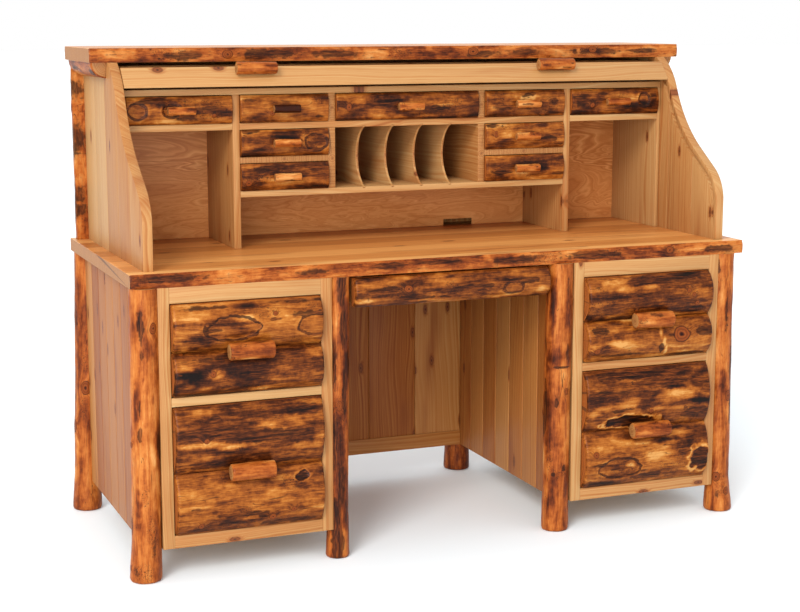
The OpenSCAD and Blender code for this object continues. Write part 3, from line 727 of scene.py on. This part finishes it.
# ---- slabs with live edges
WORKTOP_MARKS = [
    ("dark", 0.1, 0.004, 0.1, 0.01, 1.0), ("ink", 0.02, 0.0, 0.05, 0.02, 1.0),
    ("dark", 0.46, 0.0, 0.06, 0.008, 0.7), ("dark", 0.66, 0.004, 0.05, 0.01, 0.9),
    ("dark", 0.8, 0.006, 0.09, 0.006, 0.8), ("tone", 0.92, -0.004, 0.06, 0.01, 0.25),
    ("dark", 1.02, 0.0, 0.1, 0.012, 0.8), ("dark", 1.24, 0.0, 0.09, 0.012, 1.0),
    ("knot", 1.47, 0.002, 0.013, 0.01, 0.012), ("dark", 1.47, 0.0, 0.03, 0.012, 0.6),
    ("dark", 1.62, -0.002, 0.06, 0.01, 0.9), ("ink", 1.1, 0.0, 0.05, 0.02, 1.0),
    ("ink", 1.3, 0.0, 0.04, 0.02, 1.0), ("tone", 1.56, 0.004, 0.04, 0.01, 0.2),
]
SLAB_MARKS = [
    ("tone", 0.08, 0.0, 0.06, 0.02, 0.25), ("dark", 0.24, -0.004, 0.07, 0.012, 0.8),
    ("ink", 0.2, 0.0, 0.06, 0.02, 1.0), ("dark", 0.47, 0.0, 0.09, 0.014, 1.0),
    ("ink", 0.5, 0, 0.1, 0.02, 1.0), ("knot", 0.36, 0.0, 0.016, 0.012, 0.014),
    ("dark", 0.66, 0.0, 0.08, 0.012, 0.9), ("tone", 0.78, 0.0, 0.06, 0.016, 0.3),
    ("ink", 0.84, 0.0, 0.05, 0.02, 1.0), ("knot", 1.06, 0.002, 0.018, 0.012, 0.014),
    ("dark", 1.08, -0.004, 0.06, 0.01, 0.8), ("dark", 1.22, 0.0, 0.05, 0.012, 0.8),
    ("tone", 1.32, 0.0, 0.08, 0.016, 0.2), ("knot", 1.43, 0.004, 0.014, 0.01, 0.012),
    ("dark", 1.44, 0.0, 0.09, 0.01, 0.9), ("ink", 1.42, 0.0, 0.06, 0.02, 1.0),
    ("dark", 1.6, 0.0, 0.06, 0.008, 0.8),
]
REAR_SLAB_W = 0.062
REAR_SLAB_MARKS = [
    ("dark", 0.1, 0.0, 0.06, 0.02, 0.9), ("dark", 0.27, 0.0, 0.05, 0.02, 1.1),
    ("knot", 0.36, 0.0, 0.012, 0.008, 0.012), ("dark", 0.41, 0.0, 0.03, 0.02, 0.8),
]
lo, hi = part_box("worktop")
live_board("worktop_slab", "worktop", lo, np.eye(3), spans(lo, hi), WORKTOP_MARKS, 3, AMBER,
           False, -0.12)
lo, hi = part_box("top_slab")
live_board("top_board", "top_slab", lo, np.eye(3), spans(lo, hi), SLAB_MARKS, 8, AMBER, True, -0.12,
           0.004)
lo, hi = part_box("hutch_rear_slabs")
for side, x, inward, seed in (("left", lo.x, 1, 21), ("right", hi.x, -1, 22)):
    axes = ((0, 0, 1), (inward, 0, 0), (0, 1, 0))
    size = (hi.z - lo.z, REAR_SLAB_W, hi.y - lo.y)
    live_board(f"rear_slab_{side}", "hutch_rear_slabs", (x, lo.y, lo.z), axes, size, REAR_SLAB_MARKS,
               seed, EDGE, wave=0.007, top_back=0.003)

# ---- quarter logs under the ends of the top slab
CLEAT_MARKS = [
    ("dark", 0.03, 0.03, 0.04, 0.02, 1.0), ("knot", 0.16, 0.03, 0.014, 0.01, 0.014),
    ("dark", 0.22, 0.02, 0.06, 0.012, 0.9), ("ink", 0.05, 0.03, 0.05, 0.03, 1.0),
]


def cleat(side, outward):
    """A quarter log along Y, with its corner on top and its round side outward and down."""
    lo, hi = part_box("hutch_cleats")
    radius = hi.z - lo.z
    x0 = lo.x + radius if outward < 0 else hi.x - radius
    seed = 31 + outward
    stations = np.linspace(0, hi.y - lo.y, 64)
    a, th = np.meshgrid(stations, np.linspace(0, math.pi / 2, 22), indexing="ij")
    n = th.shape[1]
    turn, rise, fields = marked(a, th * radius, 0, CLEAT_MARKS, seed)
    r = radius - 0.002 + rise * 0.8 + 0.0014 * noise(a * 12, th * 1.5, 0.3, seed)
    r = r - 0.004 * smooth(1 - a / 0.004)
    v, w = r * np.cos(th), r * np.sin(th)
    shell = np.stack([x0 + outward * v, lo.y + a, hi.z - w], -1)
    flat = np.ones(len(stations))
    corner = np.stack([flat * x0, lo.y + stations, flat * hi.z], -1)[:, None]
    rings = np.concatenate([shell, corner], 1)
    mesh = settle(f"cleat_{side}", loft(rings, (n - 1, n)), [LOG, END], "hutch_cleats", 50.0)

    def wide(f):
        """A field of the round side, with 0 along the corner."""
        return np.concatenate([f, np.zeros((len(stations), 1))], 1)

    fields = {key: wide(value) for key, value in fields.items()}
    fields["tone"] = fields["tone"] - 0.1
    place = (wide(a), wide(v), wide(w))
    put_fields(mesh, ring_flow(*place, wide(th + turn / radius), seed), place, fields, seed)


cleat("left", -1)
cleat("right", 1)

# ---- posts
FOOT_H = 0.112  # height over which a foot spreads
POST_MARKS = {  # (kind, height, degrees from the camera's side, reach up, reach round, strength)
    "front_left_outer": [
        ("dark", 0.64, -4, 0.045, 0.012, 1.15), ("dark", 0.57, -2, 0.022, 0.01, 0.8),
        ("knot", 0.632, 44, 0.015, 0.011, 0.018), ("tone", 0.632, 40, 0.034, 0.018, 0.16),
        ("dark", 0.44, -12, 0.028, 0.006, 0.9), ("dark", 0.37, -14, 0.024, 0.009, 1.1),
        ("dark", 0.33, 80, 0.05, 0.008, 0.8), ("ink", 0.22, 8, 0.035, 0.012, 1.0),
        ("ink", 0.12, 34, 0.06, 0.018, 1.0), ("dark", 0.09, 40, 0.04, 0.012, 0.55),
        ("tone", 0.3, 0, 0.14, 0.03, 0.12), ("dark", 0.03, -30, 0.02, 0.012, 0.7),
        ("ink", 0.03, 0, 0.03, 0.03, 1.0), ("tone", 0.5, -40, 0.1, 0.02, 0.1),
    ],
    "front_left_inner": [
        ("dark", 0.7, 20, 0.05, 0.02, 1.1), ("dark", 0.6, 30, 0.06, 0.012, 1.2),
        ("dark", 0.5, -20, 0.09, 0.01, 1.0), ("dark", 0.42, 40, 0.07, 0.01, 1.2),
        ("knot", 0.4, 10, 0.014, 0.008, 0.016), ("dark", 0.3, -10, 0.1, 0.009, 1.0),
        ("dark", 0.2, 25, 0.08, 0.012, 1.2), ("dark", 0.1, -5, 0.08, 0.018, 1.1),
        ("ink", 0.35, 0, 0.1, 0.03, 1.0), ("tone", 0.55, -30, 0.12, 0.014, -0.2),
        ("tone", 0.25, 0, 0.2, 0.03, -0.12), ("dark", 0.03, 10, 0.04, 0.02, 1.2),
    ],
    "front_right_inner": [
        ("tone", 0.61, -32, 0.1, 0.012, -0.36), ("dark", 0.66, 34, 0.05, 0.007, 0.8),
        ("tone", 0.62, 8, 0.08, 0.014, 0.14), ("tone", 0.475, 0, 0.032, 0.05, -0.34),
        ("dark", 0.452, 10, 0.0022, 0.03, 1.8), ("dark", 0.49, 40, 0.03, 0.01, 0.8),
        ("dark", 0.355, -6, 0.016, 0.007, 1.7), ("knot", 0.385, 38, 0.01, 0.006, 0.012),
        ("tone", 0.3, 14, 0.1, 0.015, 0.16), ("tone", 0.24, -40, 0.06, 0.012, -0.36),
        ("ink", 0.2, -34, 0.04, 0.014, 1.0), ("ink", 0.166, 12, 0.022, 0.03, 1.0),
        ("dark", 0.16, -16, 0.01, 0.01, 1.2), ("dark", 0.178, 30, 0.012, 0.008, 1.2),
        ("dark", 0.34, -60, 0.1, 0.01, 1.0), ("tone", 0.07, -30, 0.07, 0.014, -0.2),
        ("tone", 0.06, 14, 0.06, 0.014, 0.08),
    ],
    "front_right_outer": [
        ("dark", 0.69, -30, 0.03, 0.012, 0.9), ("knot", 0.33, 40, 0.018, 0.012, 0.02),
        ("dark", 0.56, 20, 0.08, 0.008, 0.8), ("dark", 0.42, 60, 0.07, 0.012, 1.0),
        ("knot", 0.1, -15, 0.014, 0.012, 0.018), ("knot", 0.06, 35, 0.012, 0.01, 0.016),
        ("dark", 0.3, 60, 0.06, 0.012, 1.1), ("tone", 0.22, -10, 0.12, 0.016, 0.12),
        ("ink", 0.08, 10, 0.04, 0.02, 1.0), ("dark", 0.05, 0, 0.02, 0.02, 0.6),
        ("tone", 0.45, -20, 0.14, 0.018, 0.1),
    ],
    "rear_left_outer": [
        ("dark", 0.66, 40, 0.04, 0.012, 1.0), ("dark", 0.6, 52, 0.04, 0.01, 0.9),
        ("ink", 0.52, 30, 0.1, 0.022, 1.0), ("ink", 0.44, 10, 0.05, 0.03, 1.0),
        ("knot", 0.352, 0, 0.022, 0.015, 0.024), ("tone", 0.352, 0, 0.045, 0.024, 0.16),
        ("knot", 0.24, -62, 0.022, 0.014, 0.022), ("ink", 0.29, -10, 0.04, 0.018, 1.0),
        ("ink", 0.24, 25, 0.03, 0.016, 1.0), ("dark", 0.55, -50, 0.05, 0.01, 0.8),
        ("tone", 0.12, 0, 0.12, 0.04, 0.16), ("tone", 0.66, -20, 0.05, 0.02, 0.1),
    ],
}
# name, seed, CAD diameter, tone, foot flare, extra flare and its angle, how far the foot leans along X
POSTS = [
    ("front_left_outer", 40, 0.073, -0.06, 0.0010, 0.006, -90, -0.009),
    ("front_left_inner", 41, 0.057, -0.16, 0.0030, 0.0, 0, -0.008),
    ("front_right_inner", 42, 0.073, -0.10, 0.0010, 0.0, 0, -0.003),
    ("front_right_outer", 43, 0.065, -0.10, 0.0040, 0.006, 90, 0.006),
    ("rear_left_outer", 50, 0.073, -0.16, 0.0045, 0.0, 0, -0.022),
    ("rear_left_inner", 51, 0.057, -0.22, 0.0030, 0.0, 0, -0.004),
    ("rear_right_inner", 52, 0.073, -0.25, 0.0030, 0.0, 0, 0.0),
    ("rear_right_outer", 53, 0.065, 0.0, 0.0040, 0.0, 0, 0.008),
]
POST_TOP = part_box("worktop")[0].z
FRONT_Y = middle("post_front_right_inner").y
REAR_Y = sum(corner.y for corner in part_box("rear_posts")) / 2


def post(name, seed, d, tone, flare, extra, at, lean):
    """One post. Strewn marks stay off the side where its own marks are, but for tones on a front post."""
    front = name.startswith("front")
    x = middle("post_" + name.replace("rear", "front")).x
    start = (x, FRONT_Y if front else REAR_Y, 0)
    round_it = math.pi / 180 * d / 2
    own = [(kind, z, deg * round_it, rz, rc, k) for kind, z, deg, rz, rc, k in POST_MARKS.get(name, [])]
    counts = (5, 8, 16, 3) if front else (6, 14, 14, 4)
    strewn = scattered(np.random.default_rng(seed), POST_TOP, math.pi * d / 2, *counts)
    if own:
        clear = 0.3 * math.pi * d / 2
        strewn = [m for m in strewn if abs(m[2]) > clear or (front and m[0] == "tone")]

    def swell(a, th):
        """The foot's spread, greater towards the angle at."""
        low = smooth((FOOT_H - a) / FOOT_H)
        return low * (flare + extra * 0.5 * (1 + np.cos(th - math.radians(at))))

    node = f"post_{name}" if front else "rear_posts"
    log(name + "_log", node, start, (0, 0, 1), TO_CAMERA, POST_TOP, d, own + strewn, seed, tone,
        swell, ease=0.006, step=0.0055, around=72, eased_top=False, lean=lean)


for row in POSTS:
    post(*row)

# ---- large drawers
SPLIT = 0.48  # share of a front's height that its lower half log takes
FRONTS = {  # tone and marks of each half log
    "upper_left_low": (-0.12, [
        ("tone", 0.3, 0.0, 0.5, 0.9, -0.1), ("knot", 0.25, 0.02, 0.02, 0.14, 0.016),
        ("tone", 0.27, 0.02, 0.06, 0.3, 0.42), ("ink", 0.37, 0.05, 0.06, 0.4, 1.0),
        ("tone", 0.06, 0.3, 0.07, 0.2, 0.38), ("tone", 0.09, -0.4, 0.06, 0.16, 0.35),
        ("dark", 0.45, 0.6, 0.4, 0.2, 1.0), ("dark", 0.55, -0.2, 0.1, 0.34, 0.7),
        ("tone", 0.72, 0.05, 0.1, 0.2, 0.2), ("tone", 0.95, 0.6, 0.08, 0.22, 0.35),
        ("dark", 0.2, -0.8, 0.3, 0.2, 0.8),
    ]),
    "upper_left_high": (0.12, [
        ("window", 0.385, -0.06, 0.18, 0.46, 0.25), ("window", 0.96, -0.1, 0.14, 0.4, 0.25),
        ("tone", 0.66, 0.1, 0.14, 0.5, 0.14), ("dark", 0.2, 0.78, 0.22, 0.13, 0.9),
        ("tone", 0.1, -0.5, 0.12, 0.3, 0.16), ("dark", 0.8, 0.85, 0.2, 0.12, 0.8),
        ("dark", 0.5, -0.92, 0.5, 0.12, 0.8), ("ink", 0.92, 0.6, 0.06, 0.2, 1.0),
    ]),
    "lower_left_low": (0.02, [
        ("tone", 0.18, 0.4, 0.26, 0.45, 0.16), ("void", 0.85, 0.62, 0.055, 0.15, 0.3),
        ("ink", 0.76, 0.45, 0.09, 0.3, 1.0), ("dark", 0.44, -0.4, 0.18, 0.1, 1.5),
        ("tone", 0.44, -0.58, 0.1, 0.08, 0.3), ("dark", 0.58, -0.52, 0.05, 0.12, 1.4),
        ("knot", 0.16, -0.68, 0.022, 0.12, 0.012), ("knot", 0.64, -0.6, 0.026, 0.12, 0.012),
        ("dark", 0.75, -0.8, 0.25, 0.1, 0.9), ("tone", 0.8, -0.1, 0.2, 0.24, 0.08),
    ]),
    "lower_left_high": (-0.13, [
        ("tone", 0.16, -0.1, 0.22, 0.1, 0.5), ("tone", 0.36, -0.22, 0.1, 0.08, 0.42),
        ("dark", 0.27, 0.6, 0.05, 0.12, 1.5), ("dark", 0.2, 0.26, 0.26, 0.18, 1.4),
        ("dark", 0.62, 0.02, 0.34, 0.22, 1.5), ("dark", 0.5, -0.8, 0.5, 0.12, 1.2),
        ("dark", 0.88, 0.68, 0.16, 0.2, 1.1), ("tone", 0.75, 0.4, 0.26, 0.18, 0.22),
        ("tone", 0.2, -0.5, 0.2, 0.12, 0.22), ("tone", 0.88, -0.35, 0.14, 0.14, 0.3),
    ]),
    "upper_right_low": (0.05, [
        ("dark", 0.1, 0.52, 0.07, 0.26, 1.3), ("ink", 0.1, 0.5, 0.09, 0.35, 1.0),
        ("tone", 0.38, 0.0, 0.28, 0.36, 0.25), ("knot", 0.74, 0.14, 0.075, 0.36, 0.022),
        ("tone", 0.575, 0.25, 0.018, 0.28, 0.5), ("tone", 0.6, -0.15, 0.016, 0.28, 0.5),
        ("tone", 0.625, -0.55, 0.014, 0.26, 0.5), ("dark", 0.585, -0.45, 0.028, 0.36, 1.2),
        ("dark", 0.93, 0.2, 0.09, 0.35, 0.9), ("ink", 0.14, -0.2, 0.03, 0.4, 1.0),
        ("dark", 0.25, -0.62, 0.25, 0.12, 1.0), ("dark", 0.8, -0.85, 0.25, 0.14, 1.0),
    ]),
    "upper_right_high": (-0.08, [
        ("ink", 0.1, -0.1, 0.1, 0.9, 1.0), ("tone", 0.12, -0.3, 0.12, 0.5, 0.12),
        ("tone", 0.28, 0.35, 0.09, 0.2, 0.45), ("tone", 0.47, 0.48, 0.09, 0.14, 0.42),
        ("tone", 0.2, 0.7, 0.1, 0.16, 0.35), ("dark", 0.66, 0.72, 0.3, 0.26, 1.2),
        ("knot", 0.79, 0.2, 0.018, 0.1, 0.01), ("knot", 0.83, 0.02, 0.018, 0.1, 0.01),
        ("knot", 0.865, -0.35, 0.018, 0.12, 0.01), ("ink", 0.8, 0.1, 0.09, 0.4, 1.0),
        ("dark", 0.87, -0.62, 0.09, 0.22, 1.3), ("dark", 0.4, 0.1, 0.12, 0.12, 0.9),
        ("tone", 0.25, -0.75, 0.12, 0.14, 0.3), ("dark", 0.5, -0.9, 0.22, 0.14, 1.2),
    ]),
    "lower_right_low": (0.02, [
        ("tone", 0.2, 0.55, 0.2, 0.28, 0.3), ("window", 0.27, -0.3, 0.17, 0.34, 0.35),
        ("ink", 0.3, -0.3, 0.13, 0.32, 1.0), ("tone", 0.36, -0.22, 0.05, 0.1, 0.6),
        ("void", 0.93, -0.24, 0.085, 0.44, 0.5), ("tone", 0.56, 0.05, 0.12, 0.22, 0.32),
        ("ink", 0.68, -0.45, 0.14, 0.3, 1.0), ("dark", 0.5, -0.68, 0.16, 0.16, 1.3),
        ("dark", 0.1, -0.85, 0.12, 0.2, 1.1), ("tone", 0.7, 0.4, 0.07, 0.1, 0.4),
    ]),
    "lower_right_high": (-0.10, [
        ("dark", 0.45, 0.8, 0.55, 0.2, 1.3), ("tone", 0.75, 0.08, 0.24, 0.26, 0.36),
        ("tone", 0.33, -0.06, 0.1, 0.22, 0.35), ("void", 0.36, -0.7, 0.2, 0.22, 0.55),
        ("dark", 0.1, 0.25, 0.14, 0.16, 1.1), ("tone", 0.05, -0.35, 0.07, 0.14, 0.5),
        ("dark", 0.88, -0.55, 0.14, 0.26, 1.3), ("dark", 0.6, 0.5, 0.4, 0.12, 0.9),
        ("tone", 0.72, -0.35, 0.12, 0.1, 0.2),
    ]),
}
PULL_TONE = {"upper_left": -0.12, "lower_left": -0.02, "upper_right": -0.02, "lower_right": -0.10}
PULL_D = 0.046
PULL_PEG_D = 0.016
FLAT_T = 0.026  # thickness of a front at its edges
GLUE = 0.0001  # gap between its half logs
for k, name in enumerate(BIG):
    node = f"drawer_front_{name}"
    lo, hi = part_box(node)
    cut = lo.z + (hi.z - lo.z) * SPLIT
    for half, z, seed in (("low", (lo.z, cut - GLUE), 60), ("high", (cut, hi.z), 61)):
        tone, marks = FRONTS[f"{name}_{half}"]
        half_log(f"{node}_{half}", node, (lo.x, hi.x), hi.y, z, FLAT_T, hi.y - lo.y - FLAT_T, marks,
                 seed + 2 * k, tone)
    node = f"drawer_pull_{name}"
    lo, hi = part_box(node)
    centre = ((lo.x + hi.x) / 2, lo.y + PULL_D / 2, (lo.z + hi.z) / 2)
    pull(node + "_log", node, centre, (0, -1, 0), (hi.x - lo.x, PULL_D), 80 + k, PULL_TONE[name], PULL_PEG_D,
         hi.y - centre[1])

# ---- pencil drawer
PENCIL_FLAT_T = 0.016
PENCIL_MARKS = [
    ("dark", 0.12, 0.1, 0.1, 0.2, 1.2), ("dark", 0.3, -0.45, 0.16, 0.14, 1.3),
    ("knot", 0.26, 0.1, 0.022, 0.24, 0.016), ("tone", 0.45, 0.3, 0.12, 0.3, 0.22),
    ("dark", 0.6, 0.0, 0.14, 0.2, 1.1), ("ink", 0.22, 0, 0.1, 0.6, 1.0),
    ("dark", 0.85, 0.2, 0.12, 0.25, 1.2), ("window", 0.8, -0.2, 0.05, 0.4, 0.2),
    ("tone", 0.95, -0.4, 0.05, 0.3, 0.3), ("tone", 0.05, -0.4, 0.06, 0.3, 0.25),
]
lo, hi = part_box("pencil_drawer_front")
half_log("pencil_front_log", "pencil_drawer_front", (lo.x, hi.x), hi.y, (lo.z, hi.z), PENCIL_FLAT_T,
         hi.y - lo.y - PENCIL_FLAT_T, PENCIL_MARKS, 70, -0.04)

# ---- small drawers
SMALL_FLAT_T = 0.012
SMALL_BULGE = 0.009
SMALL_PULL = (0.072, 0.024)  # length and diameter
SMALL_PEG_D = 0.008
PULL_GAP = 0.0005
SMALL = {  # tone, marks, tone of the pull
    1: (0.10, [
        ("window", 0.1, 0.0, 0.09, 0.55, 0.3), ("window", 0.42, 0.05, 0.08, 0.5, 0.3),
        ("ink", 0.8, 0, 0.2, 0.9, 1.0), ("dark", 0.75, 0.0, 0.18, 0.4, 0.9),
        ("tone", 0.3, -0.75, 0.25, 0.2, 0.3),
    ], 0.12),
    2: (0.12, [
        ("tone", 0.55, 0.1, 0.3, 0.5, 0.1), ("dark", 0.1, 0.6, 0.12, 0.2, 0.8),
        ("dark", 0.9, -0.6, 0.1, 0.2, 0.7),
    ], -0.9),
    3: (-0.05, [
        ("knot", 0.08, 0.0, 0.02, 0.3, 0.012), ("dark", 0.3, 0.2, 0.12, 0.3, 1.1),
        ("dark", 0.7, -0.2, 0.14, 0.3, 1.1), ("ink", 0.8, 0, 0.1, 0.6, 1.0),
        ("tone", 0.55, 0.4, 0.1, 0.3, 0.25),
    ], 0.05),
    4: (0.02, [
        ("dark", 0.2, -0.3, 0.14, 0.3, 1.0), ("dark", 0.85, 0.1, 0.1, 0.4, 1.1),
        ("tone", 0.5, 0.5, 0.2, 0.3, 0.3), ("ink", 0.15, 0.2, 0.1, 0.6, 1.0),
    ], 0.12),
    5: (-0.06, [
        ("dark", 0.1, 0.0, 0.09, 0.6, 1.2), ("dark", 0.92, 0.0, 0.08, 0.6, 1.2),
        ("tone", 0.5, 0.4, 0.2, 0.3, 0.25), ("window", 0.82, 0.1, 0.06, 0.5, 0.25),
    ], -0.02),
    6: (-0.04, [
        ("ink", 0.75, 0.2, 0.2, 0.8, 1.0), ("window", 0.85, 0.0, 0.13, 0.6, 0.35),
        ("dark", 0.2, -0.6, 0.2, 0.3, 1.1), ("tone", 0.7, 0.1, 0.12, 0.4, 0.3),
    ], 0.04),
    7: (0.06, [
        ("tone", 0.3, 0.2, 0.2, 0.4, 0.3), ("dark", 0.8, -0.2, 0.16, 0.3, 1.1),
        ("knot", 0.12, 0.2, 0.02, 0.3, 0.012),
    ], 0.08),
    8: (-0.12, [
        ("ink", 0.2, 0.1, 0.2, 0.8, 1.0), ("dark", 0.3, 0.6, 0.2, 0.3, 1.2),
        ("tone", 0.7, -0.3, 0.16, 0.3, 0.3), ("dark", 0.85, 0.5, 0.12, 0.3, 1.1),
    ], 0.16),
    9: (0.0, [
        ("dark", 0.15, -0.3, 0.12, 0.3, 1.1), ("ink", 0.6, 0.4, 0.2, 0.4, 1.0),
        ("tone", 0.4, -0.4, 0.2, 0.3, 0.3),
    ], 0.1),
}
for i, (tone, marks, pull_tone) in SMALL.items():
    node = f"small_drawer_{i}"
    lo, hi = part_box(node)
    pull_y = lo.y + SMALL_PULL[1] / 2
    back_y = lo.y + SMALL_PULL[1] + PULL_GAP + SMALL_BULGE + SMALL_FLAT_T
    dress(node, BOX, 0.0006, node + "_box", back_y - 0.0006)
    half_log(node + "_front", node, (lo.x, hi.x), back_y, (lo.z, hi.z), SMALL_FLAT_T, SMALL_BULGE, marks,
             90 + i, tone, 0.0026, 0.003)
    centre = ((lo.x + hi.x) / 2, pull_y, (lo.z + hi.z) / 2)
    pull(node + "_pull", node, centre, (0, -1, 0), SMALL_PULL, 110 + i, pull_tone, SMALL_PEG_D,
         back_y - pull_y)

# ---- pulls of the lift rail
RAIL_PULL = (0.108, 0.034)  # length and diameter
RAIL_PEG_D = 0.012
RAIL_HEADING = math.radians(50)
outward = (0, -math.sin(RAIL_HEADING), math.cos(RAIL_HEADING))
lo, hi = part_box("lift_rail_pulls")
pull_y, pull_z = lo.y + RAIL_PULL[1] / 2, hi.z - RAIL_PULL[1] / 2
for side, x, seed in (("left", lo.x + RAIL_PULL[0] / 2, 130), ("right", hi.x - RAIL_PULL[0] / 2, 131)):
    pull(f"rail_pull_{side}", "lift_rail_pulls", (x, pull_y, pull_z), outward, RAIL_PULL, seed, -0.02,
         RAIL_PEG_D, RAIL_PULL[1] / 2 + PULL_GAP)

# ---- floor and light
REACH = 60.0  # half the floor's width
FLOOR_DROP = 0.0002
floor_mesh = bpy.data.meshes.new("floor")
corners = [(-REACH, -REACH, 0), (REACH, -REACH, 0), (REACH, REACH, 0), (-REACH, REACH, 0)]
floor_mesh.from_pydata(corners, [], [(0, 1, 2, 3)])
floor_mesh.materials.append(Shader("floor_paper").finish(rgb(243, 250, 254), 0.7))
floor = add_object("floor", floor_mesh)
floor.location.z = -FLOOR_DROP

world = bpy.data.worlds.new("studio")
world.use_nodes = True
world.node_tree.nodes["Background"].inputs["Color"].default_value = (1.0, 1.0, 1.0, 1)
world.node_tree.nodes["Background"].inputs["Strength"].default_value = 1.0
bpy.context.scene.world = world


def light(data, at, towards):
    lamp = add_object(data.name, data)
    lamp.location = at
    lamp.rotation_euler = Vector(towards).to_track_quat("-Z", "Y").to_euler()


sun = bpy.data.lights.new("key", "SUN")
sun.energy = 2.0
sun.angle = math.radians(24)
sun.color = (1.0, 0.98, 0.95)
light(sun, (0, 0, 0), (0.56, 0.64, -0.58))  # from the left, the front and above

FILL_AT = Vector((-2.3, -3.9, 1.35))
fill = bpy.data.lights.new("fill", "AREA")
fill.shape = "RECTANGLE"
fill.size, fill.size_y, fill.energy = 3.0, 1.6, 82
light(fill, FILL_AT, Vector((0, 0, 0.8)) - FILL_AT)

view = bpy.context.scene.view_settings
view.view_transform = "Standard"
view.look = "None"
